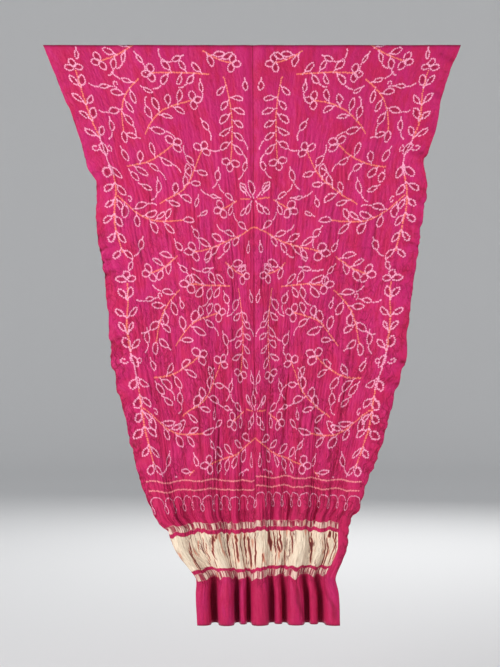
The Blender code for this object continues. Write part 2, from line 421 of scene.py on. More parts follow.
def pleat_push(across, drop):
    """How far the side pleats lift each place forward, and how far they draw it in."""
    from_edge = HALF_WIDTH - np.abs(across)
    fade = np.exp(-2 * (from_edge / PLEAT_REACH) ** 2)
    lift, nip = np.zeros_like(across), np.zeros_like(across)
    for pleats, here in ((LEFT_PLEATS, across < 0), (RIGHT_PLEATS, across >= 0)):
        for pleat in pleats:
            past = drop - (pleat.drop - PLEAT_SLANT * from_edge)
            raised = bell(past / np.where(past < 0, PLEAT_ABOVE, PLEAT_BELOW)) * here * fade
            lift += pleat.lift * raised
            nip += pleat.nip * raised
    return lift, nip


def hang(across, drop):
    """The places in the room of places on the flat cloth, on its main folds."""
    width, depth, along = flute_at(across)
    share = at_drop("flute", drop)
    turn = 2 * np.pi * along
    rounding = FLUTE_ROUNDNESS * np.sin(2 * turn) / 2 - FLUTE_SPREAD * np.sin(turn)
    rounding *= width * share / (2 * np.pi)
    x = hung_x(np.clip(across + rounding, -HALF_WIDTH, HALF_WIDTH), drop)
    ridge = depth * (1 - np.cos(turn)) / 2
    lift, nip = pleat_push(across, drop)
    x -= np.where(across >= 0, nip, -nip)
    crease_fade = np.clip((CREASE_END - drop) / CREASE_FADE, 0.0, 1.0)
    crease = CREASE_DEPTH * crease_fade * bell(across / CREASE_REACH)
    y = share * (FLUTE_LEVEL - ridge) - lift + crease
    sag = np.where(across >= 0, at_drop("sag_right", drop), at_drop("sag_left", drop))
    z = -(drop + sag * (across / HALF_WIDTH) ** 2)
    for wobble in WOBBLES:
        uneven = soft_noise(across, drop, wobble.cell, wobble.seed)
        z += wobble.lift * in_zone(drop, wobble.zone) * uneven
    ruffled = RUFFLE_LIFT * bell((drop - RUFFLE_DROP) / RUFFLE_REACH)
    z += ruffled * soft_noise(across, drop, RUFFLE_CELL, RUFFLE_SEED)
    on_left = smooth_step(0.5 - across / HALF_STEP_SOFT) * smooth_step(1 + across / HALF_STEP_REACH)
    z -= HALF_STEP * in_zone(drop, HALF_STEP_ZONE) * on_left
    return np.stack([x, y, z], axis=-1)


def crease_relief(across, drop):
    """The listed creases, as soft troughs with a low ridge on each side."""
    relief = np.zeros_like(across)
    for number, crease in enumerate(CREASES):
        way = (drop - crease.top) / (crease.bottom - crease.top)
        inside = smooth_step(way / CREASE_TAPER) * smooth_step((1 - way) / CREASE_TAPER)
        wander = CREASE_WANDER * noise_down(drop, CREASE_CELL, CREASE_SEED + number)
        off = (across - crease.across - crease.lean * way - wander) / crease.reach
        relief -= crease.depth * inside * (1 - 0.5 * off**2) * np.exp(-0.5 * off**2)
    return relief


def pulled_creases(across, drop):
    """How deep each place lies in the pulled creases of the broad stripe, from 0 to 1."""
    deepest = np.zeros_like(across)
    for number, pull in enumerate(PULLS):
        way = (drop - pull.top) / (pull.bottom - pull.top)
        inside = smooth_step(way / PULL_START + 0.5) * smooth_step((1 - way) / CREASE_TAPER)
        wander = PULL_WANDER * noise_down(drop, PULL_CELL, PULL_SEED + number)
        middle = pull.top_across + (pull.bottom_across - pull.top_across) * way
        swell = noise_down(drop, PULL_WIDTH_CELL, PULL_WIDTH_SEED + number)
        width = pull.width * (0.75 + 0.5 * swell)
        off = (across - middle - wander) / width
        deepest = np.maximum(deepest, pull.stain * inside * np.exp(-0.5 * off**2))
    return deepest


def crinkle_relief(across, drop, deepness):
    """The small crinkles: long upright ridges with narrow valleys, which start, wander and end."""
    relief = np.zeros_like(across)
    depth = at_drop("crinkle", drop) * MILLIMETRE * deepness
    margin = smooth_step((HALF_WIDTH - np.abs(across)) / CRINKLE_MARGIN)
    for crinkle in CRINKLES:
        wander = CRINKLE_WANDER * soft_noise(across, drop, WANDER_CELL, crinkle.seed)
        drift = CRINKLE_DRIFT * soft_noise(across, drop, DRIFT_CELL, crinkle.seed + 1)
        phase = 2 * np.pi * across / crinkle.pitch + wander + drift
        swell = 0.60 + 0.65 * soft_noise(across, drop, SWELL_CELL, crinkle.seed + 2)
        relief += crinkle.share * cusped(phase) * swell
    return relief * depth * (0.25 + 0.75 * margin)


def edge_ripples(across, drop):
    """The frilled side edges: short slanting ripples that die away inward, unlike on each side."""
    from_edge = HALF_WIDTH - np.abs(across)
    side = np.where(across < 0, 0.0, 7.0)
    slanted = drop + PLEAT_SLANT * from_edge
    wander_cell, swell_cell = [(1.0, cell) for cell in EDGE_RIPPLE_CELLS]
    wander = CRINKLE_WANDER * soft_noise(side, slanted, wander_cell, EDGE_RIPPLE_SEED)
    phase = 2 * np.pi * slanted / EDGE_RIPPLE_PITCH + wander
    swell = 0.65 + 0.75 * soft_noise(side + 3.0, slanted, swell_cell, EDGE_RIPPLE_SEED + 1)
    swell *= 0.30 + 0.70 * smooth_step((drop - EDGE_RIPPLE_TOP) / EDGE_RIPPLE_RISE)
    fade = bell(from_edge / EDGE_RIPPLE_REACH) * smooth_step((EDGE_RIPPLE_END - drop) / 0.1)
    return EDGE_RIPPLE_DEPTH * cusped(phase) * swell * fade


def pleat_shadow(across, drop):
    """The shadow painted in the sharp nip above each side pleat, from 0 to 1."""
    from_edge = HALF_WIDTH - np.abs(across)
    fade = np.exp(-1.2 * (from_edge / PLEAT_REACH) ** 2)
    deep_shade = np.zeros_like(across)
    for pleats, here in ((LEFT_PLEATS, across < 0), (RIGHT_PLEATS, across >= 0)):
        for pleat in pleats:
            past = drop - (pleat.drop - PLEAT_SLANT * from_edge) + 1.4 * PLEAT_ABOVE
            deep_shade += bell(past / (0.7 * PLEAT_ABOVE)) * here * pleat.lift / PLEAT_SHADE_LIFT
    return np.clip(deep_shade * fade, 0.0, 1.0)


def fold_shadow(across, drop):
    """How much shade is painted at each place in the middle fold, the flutes' hollows, the tuck and
    beneath the lowest stripe, from 0 to 1.
    """
    fold = bell(across / FOLD_LINE) * smooth_step((CREASE_END - drop) / CREASE_FADE)
    _, _, along = flute_at(across)
    hollow = (1 + np.cos(2 * np.pi * along)) / 2
    fluted = HOLLOW_SHADE * smooth_step((drop - HOLLOW_TOP) / HOLLOW_RISE) * at_drop("flute", drop)
    tucked = bell((drop - RUFFLE_DROP - TUCK_BELOW) / TUCK_REACH) * (0.35 + 0.6 * hollow)
    under_stripe = smooth_step((drop - UNDER_STRIPE_TOP) / UNDER_STRIPE_RISE) * hollow**2
    return np.maximum.reduce([fold, fluted * hollow, tucked, under_stripe])


def scallop_relief(across, drop):
    """The upright pleats that the scallops sit on, one to a scallop."""
    pitch = 2 * SCALLOP_SPAN / SCALLOP_COUNT
    cell = (SCALLOP_PLEAT_CELL, 1.0)
    uneven = 0.8 + 0.4 * soft_noise(across, np.zeros_like(drop), cell, SCALLOP_PLEAT_SEED)
    phase = 2 * np.pi * (across + SCALLOP_SPAN) / pitch
    inside = in_zone(drop, SCALLOP_PLEAT_ZONE)
    return -SCALLOP_PLEAT_DEPTH * inside * uneven * np.cos(phase)


# ---------------------------------------------------------------------------------------------
# The tied design, drawn on the flat cloth
# ---------------------------------------------------------------------------------------------

PALE, ORANGE, ROSE = 0.0, 1.0, 0.6
REPEAT = 0.424
REPEATS = 3
DESIGN_TOP = -0.004
DESIGN_END = 0.858
HAND_SEED = 5

LEAF_LENGTH = 0.0228
LEAF_WIDTH = 0.0118
LEAF_POINT = 1.35
STALK = 0.0065
TAIL_STEP = 0.0034
TAIL_DOTS = 6
TAIL_BEND = 0.8
TAIL_CHANCE = 0.22
VINE_TAIL_CHANCE = 0.12
FIRST_LEAF_LEFT = 0.10
FIRST_LEAF_RIGHT = 0.24
LAST_LEAF = 0.92
LEAF_LEANS = (0.75, 1.05)
PETAL_LENGTH = 0.0172
PETAL_WIDTH = 0.0130
PETAL_SPREAD = 1.55
CURL_RADIUS = 0.0070
CURL_TURN = 1.5 * math.pi
CURL_CLOSING = 0.55
WIDEST_EASE = 1.50
EASE_STEP = 0.003

# How uneven the tying is: the shake of each dot on the upper cloth and through the doubled cloth,
# how far leaves and petals turn off their headings, the least and greatest share of its size and
# width that a leaf has, and how lopsided it is
DOT_SHAKE = 0.00032
DOT_SHAKE_THROUGH = 0.0003
LEAF_TURN = 0.16
PETAL_TURN = 0.08
LEAF_SIZES = (0.86, 1.12)
LEAF_WIDTHS = (0.72, 1.10)
LOPSIDED = 0.25

# One repeat of the left half. root and tip: the ends of the orange stem. bow: how far the stem
# bends to its left, as a share of its length. left, right: how many leaves on each side.
# end: what the stem carries at its tip.
Sprig = namedtuple("Sprig", "root tip bow left right end")
SPRIGS = (
    Sprig((-0.252, 0.000), (-0.334, 0.032), -0.04, 2, 2, "blossom"),
    Sprig((-0.100, 0.059), (-0.228, 0.056), 0.02, 3, 3, "blossom"),
    Sprig((-0.106, 0.012), (-0.046, 0.036), 0.06, 1, 2, "blossom"),
    Sprig((-0.258, 0.068), (-0.334, 0.172), 0.13, 3, 3, "leaf"),
    Sprig((-0.280, 0.178), (-0.144, 0.111), -0.11, 3, 4, "blossom"),
    Sprig((-0.066, 0.064), (-0.067, 0.234), -0.07, 5, 5, "blossom"),
    Sprig((-0.350, 0.242), (-0.216, 0.198), 0.08, 3, 2, "blossom"),
    Sprig((-0.286, 0.318), (-0.142, 0.210), 0.09, 4, 4, "blossom"),
    Sprig((-0.398, 0.302), (-0.224, 0.350), 0.13, 4, 4, "leaf"),
    Sprig((-0.060, 0.311), (-0.106, 0.328), 0.00, 1, 1, "blossom"),
    Sprig((-0.002, 0.364), (-0.206, 0.413), -0.03, 4, 4, "blossom"),
)

# Leaf chains and odd leaves off the stems: the base, which way the leaf points (degrees, 0 to
# the right and 90 down), its size against a common leaf, and whether a tail trails off its tip.
Leaf = namedtuple("Leaf", "across down heading size tail")
LOOSE_LEAVES = (
    Leaf(-0.350, 0.248, 62, 0.95, False),
    Leaf(-0.337, 0.277, 52, 0.95, False),
    Leaf(-0.020, 0.322, 128, 0.85, False),
    Leaf(-0.024, 0.300, 232, 0.90, False),
    Leaf(-0.182, 0.342, 322, 0.80, False),
    Leaf(-0.324, 0.082, 176, 0.85, True),
    Leaf(-0.108, 0.306, 205, 0.70, True),
    Leaf(-0.150, 0.020, 150, 0.80, True),
    Leaf(-0.376, 0.004, 105, 0.80, False),
    Leaf(-0.252, 0.014, 60, 0.80, True),
    Leaf(-0.018, 0.066, 82, 0.80, False),
    Leaf(-0.120, 0.068, 75, 0.85, True),
    Leaf(-0.258, 0.082, 50, 0.80, False),
    Leaf(-0.358, 0.144, 95, 0.90, True),
    Leaf(-0.133, 0.148, 68, 0.95, True),
    Leaf(-0.297, 0.186, 205, 0.90, False),
    Leaf(-0.353, 0.203, 78, 0.90, False),
    Leaf(-0.018, 0.228, 100, 0.85, True),
    Leaf(-0.103, 0.244, 112, 0.90, True),
    Leaf(-0.281, 0.266, 100, 1.00, True),
    Leaf(-0.177, 0.300, 98, 0.85, False),
    Leaf(-0.204, 0.362, 60, 0.85, True),
    Leaf(-0.337, 0.384, 118, 0.95, True),
    Leaf(-0.252, 0.390, 86, 0.85, False),
    Leaf(-0.018, 0.392, 84, 0.90, False),
)

# The vine along each side: stretches of orange stem, and where leaf pairs sit on it. rise: True
# where the leaves point up and out, and False where they hang down and out.
Stretch = namedtuple("Stretch", "top bottom")
VINE_ACROSS = -0.400
VINE_SWAY = 0.004
VINE_SWAY_LENGTH = 0.19
VINE_STRETCHES = (Stretch(0.052, 0.188), Stretch(0.262, 0.412))
LeafPair = namedtuple("LeafPair", "down rise")
VINE_PAIRS = (
    LeafPair(0.086, True),
    LeafPair(0.120, True),
    LeafPair(0.152, True),
    LeafPair(0.186, True),
    LeafPair(0.240, False),
    LeafPair(0.276, False),
    LeafPair(0.306, False),
    LeafPair(0.338, False),
    LeafPair(0.372, False),
    LeafPair(0.406, False),
)
VINE_LEAF = 0.95
VINE_LEAF_TILT = 0.95
BUD_DOWN = 0.196
VINE_BLOSSOM_DOWN = 0.044

# The figure about the middle line: where its rays meet, and the upright leaves above it
FAN_DOWN = 0.312
MIDDLE_LEAVES = 2
MIDDLE_LEAF_DOWN = 0.306

# Tendrils off the stems: where each is rooted, its heading, and which way it rolls up
Tendril = namedtuple("Tendril", "across down heading turn_way")
TENDRILS = (Tendril(-0.372, 0.302, -0.4, 1), Tendril(-0.316, 0.084, 3.4, 1))

# The rows of dots and the scallops with their hanging drops, which close the design above the
# band. The right half was tied a little higher than the left. THIN, added to a dot's dye, marks
# the smaller dots.
DOT_ROWS = (0.867, 0.885)
ROW_REACH = 0.418
ROW_RIPPLE = 0.0016
ROW_RIPPLE_LENGTH = 0.11
RIGHT_HALF_LIFT = 0.004
SCALLOP_FOOT = 0.912
SCALLOP_RISE = 0.015
DROP_LENGTH = 0.014
DROP_WIDTH = 0.010
THIN = 2.0
THIN_PITCH = 0.0027


def directions(heading):
    """The ways that point ahead along a heading and to its side."""
    ahead = np.array([math.cos(heading), math.sin(heading)])
    return ahead, np.array([-ahead[1], ahead[0]])


class Design:
    """Gathers dotted lines and leaf shapes on the flat cloth while they are drawn."""

    def __init__(self, pitch, seed):
        self.pitch = pitch
        self.chance = np.random.default_rng(seed)
        self.dots = []
        self.leaves = []

    def line(self, points, dye, closed=False, pitch=None):
        """Dots at the tying pitch along a line through the points, each a little off it."""
        points = np.asarray(points, float)
        if closed:
            points = np.vstack([points, points[:1]])
        steps = np.hypot(*np.diff(points, axis=0).T)
        reached = np.concatenate([[0.0], np.cumsum(steps)])
        count = max(int(round(reached[-1] / (pitch or self.pitch))), 2)
        stops = np.linspace(0.0, reached[-1], count + 1)
        stops = stops[:-1] if closed else stops
        across = np.interp(stops, reached, points[:, 0])
        down = np.interp(stops, reached, points[:, 1])
        shake = self.chance.normal(0.0, DOT_SHAKE, (2, len(stops)))
        for a, d in zip(across + shake[0], down + shake[1]):
            self.dots.append((a, d, dye))

    def ease(self, spot):
        """How much wider a shape is tied where the silk draws in, so that it hangs true."""
        across = np.array([spot[0] - EASE_STEP, spot[0] + EASE_STEP])
        drawn = np.diff(hung_x(across, np.full(2, min(max(spot[1], 0.0), CLOTH_LENGTH))))[0]
        return min(max(2 * EASE_STEP / drawn, 1.0), WIDEST_EASE)

    def shape(self, base, points, ease, closed=False):
        """A pale line whose points, about their base, are eased across the cloth."""
        base = np.asarray(base, float)
        self.line(base + (np.asarray(points) - base) * (ease, 1.0), PALE, closed)

    def leaf(self, base, heading, size=1.0, tail=False, stalk=True, fat=1.0):
        """A pointed oval outline on a short stalk, its inside remembered for the shade painted in its
        sunk middle.
        """
        heading += self.chance.normal(0.0, LEAF_TURN)
        size *= self.chance.uniform(*LEAF_SIZES)
        fat *= self.chance.uniform(*LEAF_WIDTHS)
        ahead, beside = directions(heading)
        base, ease = np.asarray(base, float), self.ease(base)
        start = base + ahead * (STALK if stalk else 0.0)
        if stalk:
            self.shape(base, [base, start], ease)
        length, width = LEAF_LENGTH * size, LEAF_WIDTH * size * fat
        turn = np.linspace(0.0, 2 * np.pi, 28, endpoint=False)
        along = length * (1 - np.cos(turn)) / 2
        lopsided = 1 + LOPSIDED * self.chance.normal() * np.sign(np.sin(turn))
        out = 0.5 * width * lopsided * np.sign(np.sin(turn)) * np.abs(np.sin(turn)) ** LEAF_POINT
        outline = start + np.outer(along, ahead) + np.outer(out, beside)
        self.shape(base, outline, ease, closed=True)
        root = base + (start - base) * (ease, 1.0)
        self.leaves.append((*root, heading, length, width, ease))
        if tail:
            tip = start + ahead * length
            bend = np.linspace(0.0, TAIL_BEND, TAIL_DOTS)
            swing = np.array([np.cos(heading + bend), np.sin(heading + bend)]).T
            self.shape(base, tip + np.cumsum(swing, axis=0) * TAIL_STEP, ease)

    def curl(self, base, heading, turn_way):
        """A tendril that rolls up on itself."""
        spin = np.linspace(0.0, CURL_TURN, 20)
        radius = CURL_RADIUS * (1 - CURL_CLOSING * spin / CURL_TURN)
        side = heading + turn_way * np.pi / 2
        middle = np.asarray(base, float) + CURL_RADIUS * np.array([np.cos(side), np.sin(side)])
        angle = side + np.pi + turn_way * spin
        self.line(middle + np.array([np.cos(angle), np.sin(angle)]).T * radius[:, None], PALE)

    def blossom(self, base, heading, size=1.0):
        """Three round petals about a point."""
        base, ease = np.asarray(base, float), self.ease(base)
        for spread in (-PETAL_SPREAD, 0.0, PETAL_SPREAD):
            turn = np.linspace(0.0, 2 * np.pi, 22, endpoint=False)
            way = heading + spread + self.chance.normal(0.0, PETAL_TURN)
            ahead, beside = directions(way)
            length, width = PETAL_LENGTH * size, PETAL_WIDTH * size
            along = 0.001 + length * (1 - np.cos(turn)) / 2
            out = 0.5 * width * np.sin(turn)
            outline = base + np.outer(along, ahead) + np.outer(out, beside)
            self.shape(base, outline, ease, closed=True)
            self.leaves.append((*base, way, length, width, ease))

    def sprig(self, sprig, shift):
        """An orange stem with leaves on alternate sides and a blossom or a leaf at its tip."""
        root = np.array(sprig.root) + (0.0, shift)
        tip = np.array(sprig.tip) + (0.0, shift)
        run = tip - root
        beside = np.array([-run[1], run[0]])
        way = np.linspace(0.0, 1.0, 30)
        stem = root + np.outer(way, run) + np.outer(np.sin(np.pi * way) * sprig.bow, beside)
        self.line(stem, ORANGE)
        heading = np.arctan2(*np.gradient(stem, axis=0).T[::-1])

        def stem_at(share):
            spot = [np.interp(share, way, stem[:, k]) for k in (0, 1)]
            return spot, np.interp(share, way, np.unwrap(heading))

        sides = ((1, sprig.left, FIRST_LEAF_LEFT), (-1, sprig.right, FIRST_LEAF_RIGHT))
        for side, count, first in sides:
            for k in range(count):
                spot, ahead = stem_at(first + (LAST_LEAF - first) * k / count)
                lean = side * self.chance.uniform(*LEAF_LEANS)
                self.leaf(spot, ahead + lean, tail=self.chance.random() < TAIL_CHANCE)
        spot, ahead = stem_at(1.0)
        if sprig.end == "blossom":
            self.blossom(spot, ahead)
        else:
            self.leaf(spot, ahead, stalk=False)

    def vine(self, shift):
        """The climbing stem near the side edge, with its leaf pairs, buds and blossom."""

        def stem_at(down):
            return VINE_ACROSS + VINE_SWAY * math.sin(down * 2 * math.pi / VINE_SWAY_LENGTH)

        for stretch in VINE_STRETCHES:
            downs = np.linspace(stretch.top, stretch.bottom, 24)
            self.line([(stem_at(d), d + shift) for d in downs], ORANGE)
        link = np.linspace(VINE_STRETCHES[0].bottom, VINE_STRETCHES[1].top, 10)
        self.line([(stem_at(d), d + shift) for d in link], PALE)
        for pair in VINE_PAIRS:
            spot = (stem_at(pair.down), pair.down + shift)
            tilt = -VINE_LEAF_TILT if pair.rise else VINE_LEAF_TILT
            self.leaf(spot, tilt, VINE_LEAF, tail=self.chance.random() < VINE_TAIL_CHANCE)
            self.leaf(spot, math.pi - tilt, VINE_LEAF * 0.9)
        bud = (stem_at(BUD_DOWN), BUD_DOWN + shift)
        self.leaf(bud, 1.45, 1.05, stalk=False)
        self.curl((bud[0] + 0.010, bud[1] + 0.014), 0.9, -1)
        self.curl((bud[0] - 0.008, bud[1] + 0.014), 2.2, 1)
        self.blossom((stem_at(VINE_BLOSSOM_DOWN), VINE_BLOSSOM_DOWN + shift), -math.pi / 2, 0.9)

    def fan(self, down):
        """Half of the figure on the middle line: rays and leaves about one point."""
        centre = (-0.006, down)
        self.line([(-0.012, down - 0.004), (-0.044, down - 0.006)], ORANGE)
        self.line([(-0.010, down - 0.008), (-0.034, down - 0.030)], PALE)
        self.leaf(centre, math.radians(112), 0.95)
        self.leaf((-0.026, down - 0.020), math.radians(225), 0.8, stalk=False)


def draw_left_half(pitch):
    """Everything that is tied on the left half and, through the doubled cloth, on the right."""
    design = Design(pitch, HAND_SEED)
    for number in range(REPEATS):
        shift = number * REPEAT
        for sprig in SPRIGS:
            design.sprig(sprig, shift)
        for leaf in LOOSE_LEAVES:
            spot = (leaf.across, leaf.down + shift)
            design.leaf(spot, math.radians(leaf.heading), leaf.size, tail=leaf.tail)
        for tendril in TENDRILS:
            spot = (tendril.across, tendril.down + shift)
            design.curl(spot, tendril.heading, tendril.turn_way)
        design.vine(shift)
        design.fan(FAN_DOWN + shift)
    inside = [DESIGN_TOP < dot[1] < DESIGN_END for dot in design.dots]
    dots = np.array([dot for dot, keep in zip(design.dots, inside) if keep])
    leaves = np.array([leaf for leaf in design.leaves if leaf[1] < DESIGN_END])
    return dots, leaves


def closing_rows(pitch):
    """The dot rows and the scallops with their hanging drops, across both halves."""
    design = Design(pitch, HAND_SEED + 1)
    for down in DOT_ROWS:
        for side in (-1, 1):
            lift = RIGHT_HALF_LIFT if side > 0 else 0.0
            across = side * np.linspace(0.004, ROW_REACH, 60)
            ripple = ROW_RIPPLE * np.sin(across * 2 * np.pi / ROW_RIPPLE_LENGTH + down * 40)
            design.line(np.stack([across, down - lift + ripple], axis=-1), ROSE)
    width = 2 * SCALLOP_SPAN / SCALLOP_COUNT
    for number in range(SCALLOP_COUNT):
        left = -SCALLOP_SPAN + number * width
        foot = SCALLOP_FOOT - (RIGHT_HALF_LIFT if left >= 0 else 0.0)
        turn = np.linspace(0.0, np.pi, 16)
        across = left + width * (0.5 - 0.44 * np.cos(turn))
        down = foot - SCALLOP_RISE * np.sin(turn) ** 0.7
        design.line(np.stack([across, down], axis=-1), PALE + THIN, pitch=THIN_PITCH)
        turn = np.linspace(0.0, 2 * np.pi, 14, endpoint=False)
        across = left + 0.5 * DROP_WIDTH * np.sin(turn)
        down = foot + 0.5 * DROP_LENGTH * (1 - np.cos(turn))
        design.line(np.stack([across, down], axis=-1), PALE + THIN, closed=True, pitch=THIN_PITCH)
    return np.array(design.dots)


def whole_design(pitch):
    """All the dots and all the leaf shapes on the flat cloth."""
    dots, leaves = draw_left_half(pitch)
    chance = np.random.default_rng(HAND_SEED + 2)
    other = dots * (-1, 1, 1)
    other[:, :2] += chance.normal(0.0, DOT_SHAKE_THROUGH, (len(other), 2))
    other_leaves = leaves * (-1, 1, 1, 1, 1, 1)
    other_leaves[:, 2] = np.pi - leaves[:, 2]
    centre = Design(pitch, HAND_SEED + 3)
    for number in range(MIDDLE_LEAVES):
        centre.leaf((0.0, MIDDLE_LEAF_DOWN + number * REPEAT), -math.pi / 2, 1.15, fat=0.9)
    every_dot = np.vstack([dots, other, np.array(centre.dots), closing_rows(pitch)])
    every_leaf = np.vstack([leaves, other_leaves, np.array(centre.leaves)])
    return every_dot, every_leaf


def leaf_shade(across, down, leaves):
    """How far inside a leaf or petal each place lies, from 0 outside to 1 well inside, for the shade
    painted in their sunk middles.
    """
    shade = np.zeros_like(across)
    columns, rows = across[0], down[:, 0]
    for left, top, heading, length, width, ease in leaves:
        ahead, _ = directions(heading)
        near = length * 1.2
        i = slice(*np.searchsorted(rows, (top - near, top + near)))
        j = slice(*np.searchsorted(columns, (left - near * ease, left + near * ease)))
        off = np.stack([(across[i, j] - left) / ease, down[i, j] - top])
        along = off[0] * ahead[0] + off[1] * ahead[1]
        beside = off[1] * ahead[0] - off[0] * ahead[1]
        round_out = np.sin(np.pi * np.clip(along / length, 0.0, 1.0)) * width / 2
        deep_shade = smooth_step((round_out - np.abs(beside)) / (0.45 * width / 2))
        shade[i, j] = np.maximum(shade[i, j], deep_shade)
    return shade


# ---------------------------------------------------------------------------------------------
# Meshing
# ---------------------------------------------------------------------------------------------

# Each face keeps the nearest few dots, and a far place where it has fewer
DOT_SLOTS = 5
DOT_REACH = 0.0027
FAR_OFF = 99.0

# How far leaves are sunk, and the step that the cloth's facing is measured over
LEAF_DEPTH = 0.0007
NEARBY = 0.0005


def flat_grid():
    """The flat cloth's grid, with the rows that turn back behind as hems at both ends."""
    across = np.linspace(-HALF_WIDTH, HALF_WIDTH, COLUMNS + 1)
    hem = np.linspace(HEM_FOLD, 0.0, HEM_ROWS, endpoint=False)
    body = np.linspace(0.0, CLOTH_LENGTH, ROWS + 1)
    down = np.concatenate([-hem, body, CLOTH_LENGTH + hem[::-1]])
    return np.meshgrid(across, down)


def front_normals(across, drop):
    """The way that the hung cloth's face looks at each place."""
    drop = np.clip(drop, NEARBY, CLOTH_LENGTH - NEARBY)
    across = np.clip(across, NEARBY - HALF_WIDTH, HALF_WIDTH - NEARBY)
    downward = hang(across, drop + NEARBY) - hang(across, drop - NEARBY)
    sideways = hang(across + NEARBY, drop) - hang(across - NEARBY, drop)
    normals = np.cross(downward, sideways)
    return normals / np.linalg.norm(normals, axis=-1, keepdims=True)


def cloth_surface(across, down, shade, deepness):
    """The hung places of the grid, how much shade is painted at each in its valleys and folds, and
    how deep each lies in its pulled creases.
    """
    turned = np.maximum(np.maximum(-down, down - CLOTH_LENGTH), 0.0)
    drop = np.where(down < 0, turned, np.where(turned > 0, CLOTH_LENGTH - turned, down))
    relief = crinkle_relief(across, drop, deepness) + crease_relief(across, drop)
    relief += scallop_relief(across, drop) + edge_ripples(across, drop) - LEAF_DEPTH * shade
    pulled = pulled_creases(across, drop)
    relief -= PULL_DEPTH * pulled
    places = hang(across, drop) + front_normals(across, drop) * relief[..., None]
    places[..., 1] += HEM_BEHIND * smooth_step(turned / HEM_ROUND)
    # The valley shade: shade painted where the relief lies low, in the folds and above the side
    # pleats, from 0 to 1
    usual = (3.4 * at_drop("crinkle", drop) + 1.0) * MILLIMETRE
    valley = np.clip(0.5 - relief / usual, 0.0, 1.0)
    valley = np.maximum.reduce([valley, fold_shadow(across, drop), pleat_shadow(across, drop)])
    return places, valley, pulled


def sheet_mesh(name, places):
    """A mesh of quads through a grid of places, facing the side it is seen from."""
    rows, columns = places.shape[:2]
    index = np.arange(rows * columns).reshape(rows, columns)
    quads = np.stack([index[:-1, :-1], index[1:, :-1], index[1:, 1:], index[:-1, 1:]], axis=-1)
    mesh = bpy.data.meshes.new(name)
    mesh.from_pydata(places.reshape(-1, 3).tolist(), [], quads.reshape(-1, 4).tolist())
    mesh.shade_smooth()
    return mesh


def dots_by_face(across, down, dots):
    """For each face, the places and dyes of the few dots that reach it, the nearest first."""
    columns, rows = across[0], down[:, 0]
    found = {}
    for a, d, dye in dots:
        first_row = max(np.searchsorted(rows, d - DOT_REACH) - 1, 0)
        last_row = min(np.searchsorted(rows, d + DOT_REACH), len(rows) - 1)
        first_column = max(np.searchsorted(columns, a - DOT_REACH) - 1, 0)
        last_column = min(np.searchsorted(columns, a + DOT_REACH), len(columns) - 1)
        for i in range(first_row, last_row):
            off_d = max(rows[i] - d, d - rows[i + 1], 0.0)
            for j in range(first_column, last_column):
                off = math.hypot(off_d, max(columns[j] - a, a - columns[j + 1], 0.0))
                if off < DOT_REACH:
                    found.setdefault((i, j), []).append((off, a, d, dye))
    slots = np.full((len(rows) - 1, len(columns) - 1, DOT_SLOTS, 3), FAR_OFF, np.float32)
    for (i, j), near in found.items():
        for slot, (_, a, d, dye) in enumerate(sorted(near)[:DOT_SLOTS]):
            slots[i, j, slot] = (a, d, dye)
    return slots


def store(mesh, name, kind, domain, values):
    """Stores one value or vector for each point or face of the cloth."""
    field = "value" if kind == "FLOAT" else "vector"
    attribute = mesh.attributes.new(name, kind, domain)
    attribute.data.foreach_set(field, np.ascontiguousarray(values, np.float32).ravel())


def lay_flat(mesh, across, down):
    """The cloth's flat map: its full width and length, hems and all, fill the square."""
    top, bottom = down[0, 0], down[-1, 0]
    u = (across + HALF_WIDTH) / CLOTH_WIDTH
    v = (bottom - down) / (bottom - top)
    corner_point = np.empty(len(mesh.loops), np.int32)
    mesh.loops.foreach_get("vertex_index", corner_point)
    laid = np.stack([u.ravel(), v.ravel()], axis=-1)[corner_point]
    mesh.uv_layers.new(name=FLAT_MAP).uv.foreach_set("vector", laid.astype(np.float32).ravel())


# ---------------------------------------------------------------------------------------------
# Dyes and finishes
# ---------------------------------------------------------------------------------------------

# The three undyed cream stripes across the cloth: how far down each starts and ends on the flat
# cloth, and whether it is a thin one, where dye has run into the crinkles.
Stripe = namedtuple("Stripe", "top bottom thin")
STRIPES = (
    Stripe(0.950, 0.962, True),
    Stripe(0.971, 1.042, False),
    Stripe(1.049, 1.062, True),
)
STRIPE_LEFT = -0.436
STRIPE_RIGHT = 0.392
STRIPE_SOFT = 0.0007
STRIPE_WAVER = 0.0022
STRIPES_SPAN = (0.930, 1.080)
PLAIN_END = 1.058

# The tied dots: their least and greatest size, where one fades out and is full against its
# radius, the speck of dye at its middle, and how strong the faintest and how big a thin one is
DOT_SIZES = (0.86, 1.14)
DOT_OUTER = 1.2
DOT_INNER = 0.55
SPECK_OUTER = 0.0006
SPECK_INNER = 0.0002
SPECK_STRENGTH = 0.45
FAINTEST_DOT = 0.80
THIN_DOT = 0.70

# The weave: how many threads there are to a metre, and how often one swells along its length.
# The sewing thread: how many twists there are to a metre, and how deep they are.
THREADS_TO_METRE = 900.0
SLUBS_TO_METRE = 60.0
PLIES_TO_METRE = 1500.0
PLY_DEPTH = 0.0003

# Where the silk is redder, from a little above the stripes to a little below them
REDDER_TOP = (0.848, 0.885)
REDDER_BOTTOM = (1.068, 1.056)


def fill_inputs(tree, made, inputs):
    """Links a node's inputs, or fills them in."""
    for key, value in dict(inputs).items():
        if isinstance(value, bpy.types.NodeSocket):
            tree.links.new(value, made.inputs[key])
        else:
            made.inputs[key].default_value = value


def node(tree, kind, inputs=(), **settings):
    """Adds a node, with its settings, and its inputs linked or filled in."""
    made = tree.nodes.new(kind)
    for name, value in settings.items():
        setattr(made, name, value)
    fill_inputs(tree, made, inputs)
    return made


def calculate(tree, operation, *values):
    """One step of arithmetic."""
    return node(tree, "ShaderNodeMath", dict(enumerate(values)), operation=operation).outputs[0]


def times(tree, *values):
    """The values multiplied together."""
    product = values[0]
    for value in values[1:]:
        product = calculate(tree, "MULTIPLY", product, value)
    return product


def plus(tree, *values):
    """The values added together."""
    total = values[0]
    for value in values[1:]:
        total = calculate(tree, "ADD", total, value)
    return total


